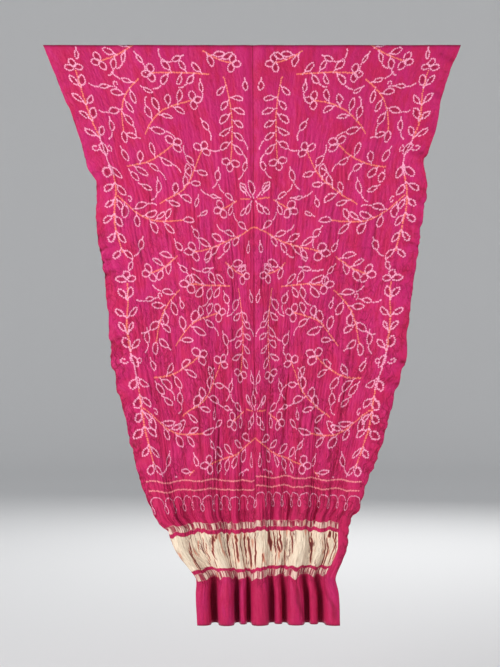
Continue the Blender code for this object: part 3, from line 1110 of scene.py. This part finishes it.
def vector_step(tree, operation, *values):
    """One step of arithmetic on places."""
    inputs = dict(enumerate(values))
    return node(tree, "ShaderNodeVectorMath", inputs, operation=operation)


def fade(tree, value, low, high, least=0.0, most=1.0):
    """A soft ramp from least to most while the value goes from low to high."""
    inputs = {"Value": value, "From Min": low, "From Max": high, "To Min": least, "To Max": most}
    made = node(tree, "ShaderNodeMapRange", inputs, interpolation_type="SMOOTHSTEP")
    return made.outputs["Result"]


def blend_colours(tree, share, first, second):
    """Goes from the first colour to the second by a share."""
    made = node(tree, "ShaderNodeMix", {0: share, 6: first, 7: second}, data_type="RGBA")
    return made.outputs[2]


def opaque(colour):
    """A colour as a shader takes it."""
    return (*colour, 1.0)


def lay_over(tree, ground, settings, layers):
    """Lays dyes over the ground one after another, each by its share and its setting's name."""
    for share, dye in layers:
        ground = blend_colours(tree, share, ground, opaque(getattr(settings, dye)))
    return ground


def patches(tree, place, cells_across, cells_down, detail=2.0, roughness=0.5, offset=0.0):
    """Soft random patches on the flat cloth, from 0 to 1, so many to a metre each way."""
    cells = (cells_across, cells_down, 1.0)
    moved = {"Vector": place, "Location": (offset,) * 3, "Scale": cells}
    scaled = node(tree, "ShaderNodeMapping", moved).outputs[0]
    inputs = {"Vector": scaled, "Scale": 1.0, "Detail": detail, "Roughness": roughness}
    return node(tree, "ShaderNodeTexNoise", inputs, noise_dimensions="2D").outputs["Fac"]


def group_tree(name, tree_type, inputs, outputs):
    """An empty node group with named inputs and outputs."""
    tree = bpy.data.node_groups.new(name, tree_type)
    for label, kind, value in inputs:
        socket = tree.interface.new_socket(label, in_out="INPUT", socket_type=kind)
        if value is not None:
            socket.default_value = value
    for label, kind in outputs:
        tree.interface.new_socket(label, in_out="OUTPUT", socket_type=kind)
    return tree, tree.nodes.new("NodeGroupInput"), tree.nodes.new("NodeGroupOutput")


def tied_dot_group():
    """One resist dot: a small ring with a speck of dye at its centre, over the colour so far."""
    tree, entry, result = group_tree(
        "tied_dot",
        "ShaderNodeTree",
        (
            ("Place", "NodeSocketVector", None),
            ("Dot", "NodeSocketVector", None),
            ("Radius", "NodeSocketFloat", 0.0019),
            ("Colour", "NodeSocketColor", None),
            ("Pale", "NodeSocketColor", None),
            ("Orange", "NodeSocketColor", None),
            ("Raised", "NodeSocketFloat", 0.0),
        ),
        (("Colour", "NodeSocketColor"), ("Raised", "NodeSocketFloat")),
    )
    given = entry.outputs
    flat = (1.0, 1.0, 0.0)
    here = vector_step(tree, "MULTIPLY", given["Place"], flat).outputs[0]
    there = vector_step(tree, "MULTIPLY", given["Dot"], flat).outputs[0]
    away = vector_step(tree, "DISTANCE", here, there).outputs["Value"]
    drawn = node(tree, "ShaderNodeTexWhiteNoise", {"Vector": there}, noise_dimensions="2D")
    chance = drawn.outputs["Value"]
    marked = node(tree, "ShaderNodeSeparateXYZ", {0: given["Dot"]}).outputs["Z"]
    thin = calculate(tree, "GREATER_THAN", marked, 1.5)
    uneven = fade(tree, chance, 0.0, 1.0, *DOT_SIZES)
    radius = times(tree, given["Radius"], uneven, fade(tree, thin, 0.0, 1.0, 1.0, THIN_DOT))
    mask = fade(tree, away, times(tree, radius, DOT_OUTER), times(tree, radius, DOT_INNER))
    speck = fade(tree, away, SPECK_OUTER, SPECK_INNER, 0.0, SPECK_STRENGTH)
    bare = calculate(tree, "SUBTRACT", 1.0, speck)
    strength = times(tree, mask, fade(tree, chance, 0.0, 1.0, 1.0, FAINTEST_DOT), bare)
    dye = calculate(tree, "SUBTRACT", marked, times(tree, thin, THIN))
    colour = blend_colours(tree, dye, given["Pale"], given["Orange"])
    laid = blend_colours(tree, strength, given["Colour"], colour)
    tree.links.new(laid, result.inputs["Colour"])
    raised = calculate(tree, "MAXIMUM", given["Raised"], mask)
    tree.links.new(raised, result.inputs["Raised"])
    return tree


def thread_group():
    """The fine uneven threads of hand-woven silk, as a height from 0 to 1."""
    tree, entry, result = group_tree(
        "silk_threads",
        "ShaderNodeTree",
        (("Place", "NodeSocketVector", None), ("Coarseness", "NodeSocketFloat", 1.0)),
        (("Height", "NodeSocketFloat"),),
    )
    given = {0: entry.outputs["Place"], "Scale": entry.outputs["Coarseness"]}
    scaled = node(tree, "ShaderNodeVectorMath", given, operation="SCALE").outputs[0]
    warp = patches(tree, scaled, THREADS_TO_METRE, SLUBS_TO_METRE, 1.0, offset=3.0)
    weft = patches(tree, scaled, SLUBS_TO_METRE, THREADS_TO_METRE, 1.0, offset=7.0)
    height = times(tree, plus(tree, warp, weft), 0.5)
    tree.links.new(height, result.inputs["Height"])
    return tree


def stripe_ramp(tree, down, values):
    """A ramp down the flat cloth that has each stripe's value inside it and nothing outside."""
    low, high = STRIPES_SPAN
    inputs = {"Value": down, "From Min": low, "From Max": high}
    share = node(tree, "ShaderNodeMapRange", inputs).outputs["Result"]
    ramp = node(tree, "ShaderNodeValToRGB", {0: share})
    stops = []
    for stripe, value in zip(STRIPES, values):
        for edge, way in ((stripe.top, 1), (stripe.bottom, -1)):
            before, after = edge - STRIPE_SOFT, edge + STRIPE_SOFT
            pair = ((before, 0.0), (after, value)) if way > 0 else ((before, value), (after, 0.0))
            stops += [((at - low) / (high - low), level) for at, level in pair]
    elements = ramp.color_ramp.elements
    for element, position in zip(elements, (0.0, 1.0)):
        element.position, element.color = position, opaque((0.0, 0.0, 0.0))
    for position, level in stops:
        elements.new(position).color = opaque((level, level, level))
    return ramp.outputs["Color"]


def attribute(tree, name, output):
    """One of the values that the cloth's mesh carries."""
    return node(tree, "ShaderNodeAttribute", attribute_name=name).outputs[output]


def crease_lines(tree, place, cells_across, cells_down, width, offset):
    """Thin lines that wander mostly downward, start and end, at 1 along their middles."""
    level = patches(tree, place, cells_across, cells_down, 1.0, offset=offset)
    off = calculate(tree, "ABSOLUTE", calculate(tree, "SUBTRACT", level, 0.5))
    return fade(tree, off, width, 0.0)


def sway(tree, place, cells_across, cells_down, reach, detail=1.0, offset=0.0):
    """A soft random shift, half the reach each way."""
    waver = patches(tree, place, cells_across, cells_down, detail, offset=offset)
    return times(tree, calculate(tree, "SUBTRACT", waver, 0.5), reach)


def shaken_place(tree, place, cells_across, cells_down, reach, offset):
    """The flat place, swayed sideways so that lines drawn on it waver."""
    swayed = sway(tree, place, cells_across, cells_down, reach, offset=offset)
    shift = node(tree, "ShaderNodeCombineXYZ", {"X": swayed}).outputs[0]
    return vector_step(tree, "ADD", place, shift).outputs[0]


def dyed_ground(tree, settings, place, down, mottle, valley, lines, shade):
    """The dyed silk under the dots: mottled, with shade painted in its folds, creases and leaves.

    Its layers, in order: the mottling, the darker top, the redder silk about the stripes and
    down the cloth, the plain end's broad folds, and the painted shade of the valleys, of the fine
    crease lines and of the leaves' sunk middles.
    """
    near_stripes = times(tree, fade(tree, down, *REDDER_TOP), fade(tree, down, *REDDER_BOTTOM))
    plain = fade(tree, down, PLAIN_END, PLAIN_END + 0.01)
    folded_dye = fade(tree, patches(tree, place, 5.5, 1.5, 1.0, offset=71.0), 0.42, 0.58)
    layers = (
        (fade(tree, mottle, 0.36, 0.66), "crimson"),
        (fade(tree, down, 0.30, 0.0, 0.0, 0.12), "deep_shade"),
        (times(tree, near_stripes, 0.7), "crimson"),
        (fade(tree, down, 0.40, 0.85, 0.0, 0.35), "crimson"),
        (times(tree, plain, folded_dye), "crimson"),
        (times(tree, plain, 0.10), "deep_shade"),
        # The last three layers are painted shade: in the valleys and folds, along the crinkles' fine
        # grooves, and in the leaves' sunk middles
        (fade(tree, valley, 0.50, 1.0, 0.0, 0.85), "deep_shade"),
        (times(tree, lines, 0.60), "deep_shade"),
        (times(tree, shade, 0.68), "maroon_shade_and_dye"),
    )
    return lay_over(tree, opaque(settings.magenta), settings, layers)


def cream_ground(tree, settings, place, fine, pulled, valley, thin_stripes):
    """The undyed silk of the stripes, with the dye that ran into its creases and stained it.

    Its layers, in order: the duller parts, the thin stripes' pink, the stains, the pulled
    creases' rusty rims and dark middles, the fine streaks, and the gaps in the thin stripes, partly
    dye and partly shade painted along the valleys.
    """
    stained = patches(tree, place, 34.0, 22.0, 2.0, offset=13.0)
    shaken = shaken_place(tree, place, 8.0, 130.0, 0.014, 23.0)
    narrow = crease_lines(tree, shaken, 70.0, 12.0, 0.045, 53.0)
    crowded = fade(tree, patches(tree, place, 16.0, 2.0, 1.0, offset=31.0), 0.44, 0.56)
    gaps = crease_lines(tree, place, 60.0, 4.0, 0.120, 59.0)
    # The gaps also follow the valley shade, so they are partly painted shade
    gaps = calculate(tree, "MAXIMUM", gaps, fade(tree, valley, 0.48, 0.64))
    layers = (
        (fade(tree, fine, 0.46, 0.80), "tan"),
        (times(tree, thin_stripes, 0.30), "blush"),
        (fade(tree, stained, 0.63, 0.74, 0.0, 0.60), "rust"),
        (fade(tree, pulled, 0.12, 0.38, 0.0, 0.70), "rust"),
        (fade(tree, pulled, 0.30, 0.56, 0.0, 0.95), "streak"),
        (times(tree, narrow, crowded, 0.85), "streak"),
        (times(tree, thin_stripes, gaps), "maroon_shade_and_dye"),
    )
    return lay_over(tree, opaque(settings.cream), settings, layers)


def new_material(name):
    """A material whose node tree is still empty, and that tree."""
    material = bpy.data.materials.new(name)
    material.use_nodes = True
    material.node_tree.nodes.clear()
    return material, material.node_tree


def finish_material(tree, inputs):
    """Closes a material with its shader."""
    shader = node(tree, "ShaderNodeBsdfPrincipled", inputs)
    node(tree, "ShaderNodeOutputMaterial", {"Surface": shader.outputs["BSDF"]})


def cloth_values(tree):
    """What the mesh carries: the flat place, the shade painted in its valleys and folds, how deep in
    pulls it lies, and the shade painted in its leaves.
    """
    place = attribute(tree, "flat_place", "Vector")
    return [place] + [attribute(tree, name, "Fac") for name in ("valley", "pulled", "leaf_shade")]


def crease_shade_lines(tree, place):
    """The shade painted along the crinkles' fine grooves, as darker lines in two sizes."""
    coarse = crease_lines(tree, place, 75.0, 42.0, 0.040, 41.0)
    fine = crease_lines(tree, place, 130.0, 62.0, 0.055, 43.0)
    return calculate(tree, "MAXIMUM", coarse, times(tree, fine, 0.6))


def stripe_masks(tree, place, across, down):
    """The undyed stripes on the flat cloth, as a mask of all three and one of the thin ones."""
    wavered = plus(tree, down, sway(tree, place, 60.0, 2.0, STRIPE_WAVER, detail=2.0, offset=9.0))
    inside = times(
        tree,
        fade(tree, across, STRIPE_LEFT - STRIPE_SOFT, STRIPE_LEFT + STRIPE_SOFT),
        fade(tree, across, STRIPE_RIGHT + STRIPE_SOFT, STRIPE_RIGHT - STRIPE_SOFT),
    )
    every = stripe_ramp(tree, wavered, [1.0 for _ in STRIPES])
    thin = stripe_ramp(tree, wavered, [float(stripe.thin) for stripe in STRIPES])
    return times(tree, every, inside), thin


def lay_dots(tree, settings, place, colour):
    """The dots nearest to each face laid over the colour, and where they stand proud."""
    group = tied_dot_group()
    raised = 0.0
    for slot in range(DOT_SLOTS):
        inputs = {
            "Place": place,
            "Dot": attribute(tree, f"dot_{slot + 1}", "Vector"),
            "Radius": settings.dot_radius,
            "Colour": colour,
            "Pale": opaque(settings.pale),
            "Orange": opaque(settings.orange),
            "Raised": raised,
        }
        dot = node(tree, "ShaderNodeGroup", node_tree=group)
        fill_inputs(tree, dot, inputs)
        colour, raised = dot.outputs["Colour"], dot.outputs["Raised"]
    return colour, raised


def silk_material(settings):
    """Dyed silk: mottled magenta with shade painted in the folds, with dots, leaves and cream
    stripes.
    """
    material, tree = new_material("tie_dyed_silk")
    place, valley, pulled, shade = cloth_values(tree)
    split = node(tree, "ShaderNodeSeparateXYZ", {0: place}).outputs
    across, down = split["X"], split["Y"]

    wide = patches(tree, place, 26.0, 13.0, 2.0, offset=1.0)
    fine = patches(tree, place, 95.0, 42.0, 3.0, 0.6, offset=5.0)
    mottle = plus(tree, times(tree, wide, 0.6), times(tree, fine, 0.4))
    shaken = shaken_place(tree, place, 30.0, 60.0, 0.010, 61.0)
    bunched = fade(tree, patches(tree, place, 24.0, 14.0, 2.0, offset=47.0), 0.34, 0.60)
    tightened = fade(tree, down, 0.05, 0.92, 0.35, 1.40)
    slack = fade(tree, down, PLAIN_END, PLAIN_END + 0.03, 1.0, 0.25)
    # Shade painted along the crinkles' fine grooves, which the bump also sinks
    lines = times(tree, crease_shade_lines(tree, shaken), bunched, tightened, slack)
    lines = calculate(tree, "MINIMUM", lines, 1.0)

    cream_mask, thin_stripes = stripe_masks(tree, place, across, down)
    dyed = dyed_ground(tree, settings, place, down, mottle, valley, lines, shade)
    cream = cream_ground(tree, settings, place, fine, pulled, valley, thin_stripes)
    colour = blend_colours(tree, cream_mask, dyed, cream)
    colour, raised = lay_dots(tree, settings, place, colour)

    threads = node(tree, "ShaderNodeGroup", node_tree=thread_group())
    tree.links.new(place, threads.inputs["Place"])
    rumple = times(tree, patches(tree, shaken, 130.0, 75.0, 3.0, 0.6, offset=17.0), 1.9)
    height = calculate(tree, "SUBTRACT", rumple, times(tree, lines, 0.7))
    weave = times(tree, threads.outputs["Height"], 0.10)
    height = plus(tree, height, times(tree, raised, 0.35), weave)
    raising = {"Height": height, "Strength": 1.0, "Distance": MILLIMETRE}
    bump = node(tree, "ShaderNodeBump", raising)
    roughness = plus(tree, fade(tree, fine, 0.2, 0.8, 0.36, 0.52), times(tree, raised, 0.15))
    finish_material(
        tree,
        {
            "Base Color": colour,
            "Roughness": roughness,
            "Normal": bump.outputs["Normal"],
            "Specular IOR Level": 0.30,
            "Specular Tint": (1.0, 0.35, 0.55, 1.0),
            "Sheen Weight": 0.06,
            "Sheen Roughness": 0.45,
            "Sheen Tint": (1.0, 0.40, 0.60, 1.0),
        },
    )
    return material


def thread_material(settings):
    """The hems' sewing thread, a shade deeper than the silk."""
    material, tree = new_material("sewing_thread")
    place = node(tree, "ShaderNodeTexCoord").outputs["Object"]
    noise = {"Vector": place, "Scale": PLIES_TO_METRE, "Detail": 1.0}
    twist = node(tree, "ShaderNodeTexNoise", noise).outputs["Fac"]
    light = fade(tree, twist, 0.3, 0.7)
    colour = lay_over(tree, opaque(settings.deep_shade), settings, [(light, "magenta")])
    bump = node(tree, "ShaderNodeBump", {"Height": twist, "Strength": 0.5, "Distance": PLY_DEPTH})
    normal = bump.outputs["Normal"]
    finish_material(tree, {"Base Color": colour, "Roughness": 0.55, "Normal": normal})
    return material


def plain_material(name, colour):
    """Matt paint for the stage."""
    material = bpy.data.materials.new(name)
    material.use_nodes = True
    shader = material.node_tree.nodes["Principled BSDF"]
    shader.inputs["Base Color"].default_value = opaque(colour)
    shader.inputs["Roughness"].default_value = 0.95
    shader.inputs["Specular IOR Level"].default_value = 0.1
    return material


def running_stitch_tree():
    """Stitches laid end to end along a line, each a short thick thread."""
    tree, entry, result = group_tree(
        "running_stitch",
        "GeometryNodeTree",
        (
            ("Line", "NodeSocketGeometry", None),
            ("Stitch Pitch", "NodeSocketFloat", 0.0045),
            ("Stitch Length", "NodeSocketFloat", 0.0027),
            ("Thread Width", "NodeSocketFloat", 0.0006),
            ("Thread", "NodeSocketMaterial", None),
        ),
        (("Stitches", "NodeSocketGeometry"),),
    )
    given = entry.outputs
    line = node(tree, "GeometryNodeMeshToCurve", {"Mesh": given["Line"]})
    pitched = {"Curve": line.outputs["Curve"], "Length": given["Stitch Pitch"]}
    spaced = node(tree, "GeometryNodeResampleCurve", pitched, mode="LENGTH")
    bead = node(tree, "GeometryNodeMeshIcoSphere", {"Radius": 0.5, "Subdivisions": 1})
    width = given["Thread Width"]
    sizes = {"X": width, "Y": width, "Z": given["Stitch Length"]}
    size = node(tree, "ShaderNodeCombineXYZ", sizes).outputs["Vector"]
    sized = {"Geometry": bead.outputs["Mesh"], "Scale": size}
    stitch = node(tree, "GeometryNodeTransform", sized)
    smooth = node(tree, "GeometryNodeSetShadeSmooth", {"Geometry": stitch.outputs["Geometry"]})
    ahead = {"Vector": node(tree, "GeometryNodeInputTangent").outputs["Tangent"]}
    turn = node(tree, "FunctionNodeAlignRotationToVector", ahead, axis="Z")
    sewn = node(
        tree,
        "GeometryNodeInstanceOnPoints",
        {
            "Points": spaced.outputs["Curve"],
            "Instance": smooth.outputs["Geometry"],
            "Rotation": turn.outputs["Rotation"],
        },
    )
    real = node(tree, "GeometryNodeRealizeInstances", {"Geometry": sewn.outputs["Instances"]})
    dressed = {"Geometry": real.outputs["Geometry"], "Material": given["Thread"]}
    threaded = node(tree, "GeometryNodeSetMaterial", dressed)
    tree.links.new(threaded.outputs["Geometry"], result.inputs["Stitches"])
    return tree


# ---------------------------------------------------------------------------------------------
# Settings
# ---------------------------------------------------------------------------------------------


def number_setting(name, description, default, least=0.0, **others):
    """A plain number that a user may change."""
    return FloatProperty(name=name, description=description, default=default, min=least, **others)


def length_setting(name, description, default):
    """A length in metres that a user may change."""
    return number_setting(name, description, default, subtype="DISTANCE", unit="LENGTH")


def colour_setting(name, description, default):
    """A dye or paint that a user may change."""
    about = {"name": name, "description": description, "default": default}
    return FloatVectorProperty(**about, size=3, min=0.0, max=1.0, subtype="COLOR")


class BandhaniClothSettings(bpy.types.PropertyGroup):
    """What a user may change on the cloth itself."""

    crinkle: number_setting(
        "Crinkle", "Depth of the small crinkles against the usual one", 1.0, max=2.0, subtype="FACTOR"
    )
    dot_pitch: length_setting("Dot Pitch", "Distance from one tied dot to the next", 0.0038)
    dot_radius: length_setting("Dot Radius", "Radius of a tied dot", 0.0019)
    magenta: colour_setting("Magenta", "The main dye", (0.515, 0.019, 0.137))
    crimson: colour_setting("Crimson", "The redder dye of the mottling", (0.500, 0.016, 0.086))
    # Deep: painted as shade in the valleys, folds and fine crease lines; also the darker top and
    # plain end, and the sewing thread's base colour
    deep_shade: colour_setting("Deep", "The dye gathered in the folds", (0.185, 0.005, 0.020))
    # Maroon: painted as shade in the leaves' sunk middles, and the dye of the thin stripes' gaps,
    # which partly follow the painted valley shade
    maroon_shade_and_dye: colour_setting("Maroon", "The darker dye inside the leaves", (0.300, 0.010, 0.045))
    pale: colour_setting("Pale", "The tied dots of the outlines", (0.920, 0.400, 0.570))
    orange: colour_setting("Orange", "The tied dots of the stems", (0.900, 0.240, 0.150))
    cream: colour_setting("Cream", "The undyed stripes", (0.830, 0.695, 0.525))
    tan: colour_setting("Tan", "The duller parts of the undyed stripes", (0.680, 0.520, 0.375))
    rust: colour_setting("Rust", "Stains on the undyed stripes", (0.620, 0.110, 0.040))
    streak: colour_setting("Streak", "Dye run into the stripes' crinkles", (0.150, 0.022, 0.020))
    blush: colour_setting("Blush", "Pink dye crept into the thin stripes", (0.760, 0.360, 0.380))


class BandhaniHemSettings(bpy.types.PropertyGroup):
    """What a user may change on the hems' stitching."""

    pitch: length_setting("Stitch Pitch", "Distance from one stitch to the next", 0.0045)
    length: length_setting("Stitch Length", "Length of thread that shows in a stitch", 0.0027)
    thread: length_setting("Thread Width", "Thickness of the sewing thread", 0.0006)
    inset: length_setting("Inset", "How far in from the edge the stitches run", 0.0062)


class BandhaniStageSettings(bpy.types.PropertyGroup):
    """What a user may change on the floor, lights and camera."""

    floor_drop: length_setting("Floor Drop", "How far the floor lies beneath the lower edge", 0.24)
    floor_colour: colour_setting("Floor Colour", "The floor and its sweep", (0.80, 0.80, 0.80))
    key_power: number_setting("Key Power", "Power of the main light, in watts", 121.0)
    fill_power: number_setting("Fill Power", "Power of the softening light, in watts", 36.0)
    back_power: number_setting("Back Power", "Power of the light behind, in watts", 70.0)
    lens: number_setting("Lens", "Focal length of the camera, in millimetres", 86.36, least=10.0)
    camera_distance: length_setting("Camera Distance", "From the cloth to the camera", 3.2)


# ---------------------------------------------------------------------------------------------
# Making the pieces
# ---------------------------------------------------------------------------------------------

CLOTH_PIECE = "silk_cloth"
STITCH_PIECE = "hem_stitches"
STITCH_LIFT = 0.0003
STITCH_END_GAP = 0.004
HEM_LINE_POINTS = 900


def add_object(name, data):
    """A new object in the scene, at the origin."""
    made = bpy.data.objects.new(name, data)
    bpy.context.scene.collection.objects.link(made)
    return made


def add_piece(name, mesh):
    """A finished piece that rides with the frame's only body."""
    piece = add_object(name, mesh)
    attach(piece, "root")
    return piece


class BANDHANI_OT_make_cloth(bpy.types.Operator):
    """Hangs the dyed silk cloth on its folds"""

    bl_idname = "bandhani.make_cloth"
    bl_label = "Make Cloth"

    def execute(self, context):
        settings = context.scene.bandhani_cloth
        dots, leaves = whole_design(settings.dot_pitch)
        across, down = flat_grid()
        shade = leaf_shade(across, down, leaves)
        places, valley, pulled = cloth_surface(across, down, shade, settings.crinkle)
        mesh = sheet_mesh(CLOTH_PIECE, places)
        flat = np.stack([across, down, np.zeros_like(across)], axis=-1)
        store(mesh, "flat_place", "FLOAT_VECTOR", "POINT", flat)
        for name, values in (("valley", valley), ("leaf_shade", shade), ("pulled", pulled)):
            store(mesh, name, "FLOAT", "POINT", values)
        slots = dots_by_face(across, down, dots)
        for slot in range(DOT_SLOTS):
            store(mesh, f"dot_{slot + 1}", "FLOAT_VECTOR", "FACE", slots[:, :, slot])
        lay_flat(mesh, across, down)
        mesh.materials.append(silk_material(settings))
        cloth = add_piece(CLOTH_PIECE, mesh)
        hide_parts(CLOTH_NODE)
        return {"FINISHED"}


class BANDHANI_OT_sew_hems(bpy.types.Operator):
    """Sews the running stitches that hold the upper and lower hems"""

    bl_idname = "bandhani.sew_hems"
    bl_label = "Sew Hems"

    def execute(self, context):
        cloth_settings = context.scene.bandhani_cloth
        settings = context.scene.bandhani_hem
        end = HALF_WIDTH - STITCH_END_GAP
        across = np.linspace(-end, end, HEM_LINE_POINTS)
        lines, edges = [], []
        for inset in (settings.inset, CLOTH_LENGTH - settings.inset):
            drop = np.full_like(across, inset)
            lift = crinkle_relief(across, drop, cloth_settings.crinkle) + STITCH_LIFT
            lift += crease_relief(across, drop)
            start = len(edges) + len(lines)
            lines.append(hang(across, drop) + front_normals(across, drop) * lift[:, None])
            edges += [(start + k, start + k + 1) for k in range(len(across) - 1)]
        guide = bpy.data.meshes.new("hem_lines")
        guide.from_pydata(np.vstack(lines).tolist(), [], edges)
        line = add_object("hem_lines", guide)
        sewing = line.modifiers.new("Running Stitch", "NODES")
        sewing.node_group = running_stitch_tree()
        values = {
            "Stitch Pitch": settings.pitch,
            "Stitch Length": settings.length,
            "Thread Width": settings.thread,
            "Thread": thread_material(cloth_settings),
        }
        for socket in sewing.node_group.interface.items_tree:
            if socket.name in values:
                sewing[socket.identifier] = values[socket.name]
        evaluated = line.evaluated_get(context.evaluated_depsgraph_get())
        mesh = bpy.data.meshes.new_from_object(evaluated)
        if len(mesh.polygons) == 0:
            raise RuntimeError("the hems have no stitches")
        mesh.name = STITCH_PIECE
        line.modifiers.remove(sewing)
        bpy.data.objects.remove(line)
        stitches = add_piece(STITCH_PIECE, mesh)
        return {"FINISHED"}


# ---------------------------------------------------------------------------------------------
# The stage
# ---------------------------------------------------------------------------------------------

# The middle of the cloth, which the lights and the camera look at. Each light's place, and how
# wide it is. The soft grey light all round, and the floor's sweep.
MIDDLE = (-0.004, 0.0, -0.577)
Light = namedtuple("Light", "name place size")
LIGHTS = (
    Light("key", (-2.5, -2.9, -0.1), 2.2),
    Light("fill", (2.8, -2.6, -0.7), 2.4),
    Light("back", (0.6, 3.4, 1.2), 2.4),
)
SURROUND_COLOUR = (0.85, 0.87, 0.90)
SURROUND_STRENGTH = 0.5
FARTHEST_SEEN = 50.0
SWEEP_FLAT = 6.5
SWEEP_CURVE = 2.0
SWEEP_HEIGHT = 4.5
SWEEP_SIDES = 96


def aim(thing, place, target):
    """Puts a light or the camera at a place and points it at another."""
    thing.location = place
    thing.rotation_euler = (Vector(target) - Vector(place)).to_track_quat("-Z", "Y").to_euler()


def add_light(name, place, target, size, power):
    """A large soft light."""
    data = bpy.data.lights.new(name, "AREA")
    data.shape = "RECTANGLE"
    data.size = data.size_y = size
    data.energy = power
    lamp = add_object(name, data)
    lamp.visible_camera = False
    aim(lamp, place, target)


def sweep_mesh(floor):
    """A round floor that curves up into a low wall all round."""
    turn = np.linspace(0.0, np.pi / 2, 13)
    curve = zip(SWEEP_FLAT + SWEEP_CURVE * np.sin(turn), SWEEP_CURVE * (1 - np.cos(turn)))
    profile = [*curve, (SWEEP_FLAT + SWEEP_CURVE, SWEEP_HEIGHT)]
    points, faces = [(0.0, 0.0, floor)], []
    for radius, height in profile:
        for side in range(SWEEP_SIDES):
            angle = 2 * math.pi * side / SWEEP_SIDES
            points.append((radius * math.cos(angle), radius * math.sin(angle), floor + height))
    for side in range(SWEEP_SIDES):
        after = (side + 1) % SWEEP_SIDES
        faces.append((0, 1 + side, 1 + after))
        for ring in range(len(profile) - 1):
            low, high = 1 + ring * SWEEP_SIDES, 1 + (ring + 1) * SWEEP_SIDES
            faces.append((low + side, high + side, high + after, low + after))
    mesh = bpy.data.meshes.new("floor")
    mesh.from_pydata(points, [], faces)
    mesh.shade_smooth()
    return mesh


class BANDHANI_OT_set_stage(bpy.types.Operator):
    """Lays the pale floor, sets the soft lights and puts the camera in front of the cloth"""

    bl_idname = "bandhani.set_stage"
    bl_label = "Set Stage"

    def execute(self, context):
        settings = context.scene.bandhani_stage
        mesh = sweep_mesh(-CLOTH_LENGTH - settings.floor_drop)
        mesh.materials.append(plain_material("pale_floor", settings.floor_colour))
        floor = add_object("floor", mesh)
        for light in LIGHTS:
            power = getattr(settings, f"{light.name}_power")
            add_light(f"{light.name}_light", light.place, MIDDLE, light.size, power)
        world = bpy.data.worlds.new("soft_grey")
        world.use_nodes = True
        background = world.node_tree.nodes["Background"].inputs
        background["Color"].default_value = opaque(SURROUND_COLOUR)
        background["Strength"].default_value = SURROUND_STRENGTH
        context.scene.world = world
        data = bpy.data.cameras.new("camera")
        data.lens = settings.lens
        data.clip_end = FARTHEST_SEEN
        camera = add_object("camera", data)
        aim(camera, (MIDDLE[0], -settings.camera_distance, MIDDLE[2]), MIDDLE)
        context.scene.camera = camera
        context.scene.view_settings.view_transform = "Standard"
        return {"FINISHED"}


class BANDHANI_PT_panel(bpy.types.Panel):
    """The settings, and the buttons that make the pieces and the stage"""

    bl_idname = "BANDHANI_PT_panel"
    bl_label = "Bandhani Cloth"
    bl_space_type = "VIEW_3D"
    bl_region_type = "UI"
    bl_category = "Bandhani"

    def draw(self, context):
        for name, button in PANEL_ROWS:
            box = self.layout.box()
            group = getattr(context.scene, name)
            for setting in group.bl_rna.properties.keys():
                if setting not in {"rna_type", "name"}:
                    box.prop(group, setting)
            box.operator(button)


# Each box of the panel: where its settings are kept, and its button
PANEL_ROWS = (
    ("bandhani_cloth", "bandhani.make_cloth"),
    ("bandhani_hem", "bandhani.sew_hems"),
    ("bandhani_stage", "bandhani.set_stage"),
)
CLASSES = (
    BandhaniClothSettings,
    BandhaniHemSettings,
    BandhaniStageSettings,
    BANDHANI_OT_make_cloth,
    BANDHANI_OT_sew_hems,
    BANDHANI_OT_set_stage,
    BANDHANI_PT_panel,
)


def register():
    for each in CLASSES:
        bpy.utils.register_class(each)
    bpy.types.Scene.bandhani_cloth = PointerProperty(type=BandhaniClothSettings)
    bpy.types.Scene.bandhani_hem = PointerProperty(type=BandhaniHemSettings)
    bpy.types.Scene.bandhani_stage = PointerProperty(type=BandhaniStageSettings)


def unregister():
    del bpy.types.Scene.bandhani_stage
    del bpy.types.Scene.bandhani_hem
    del bpy.types.Scene.bandhani_cloth
    for each in reversed(CLASSES):
        bpy.utils.unregister_class(each)


def main():
    register()
    bpy.ops.bandhani.make_cloth()
    bpy.ops.bandhani.sew_hems()
    bpy.ops.bandhani.set_stage()


if __name__ == "__main__":
    main()
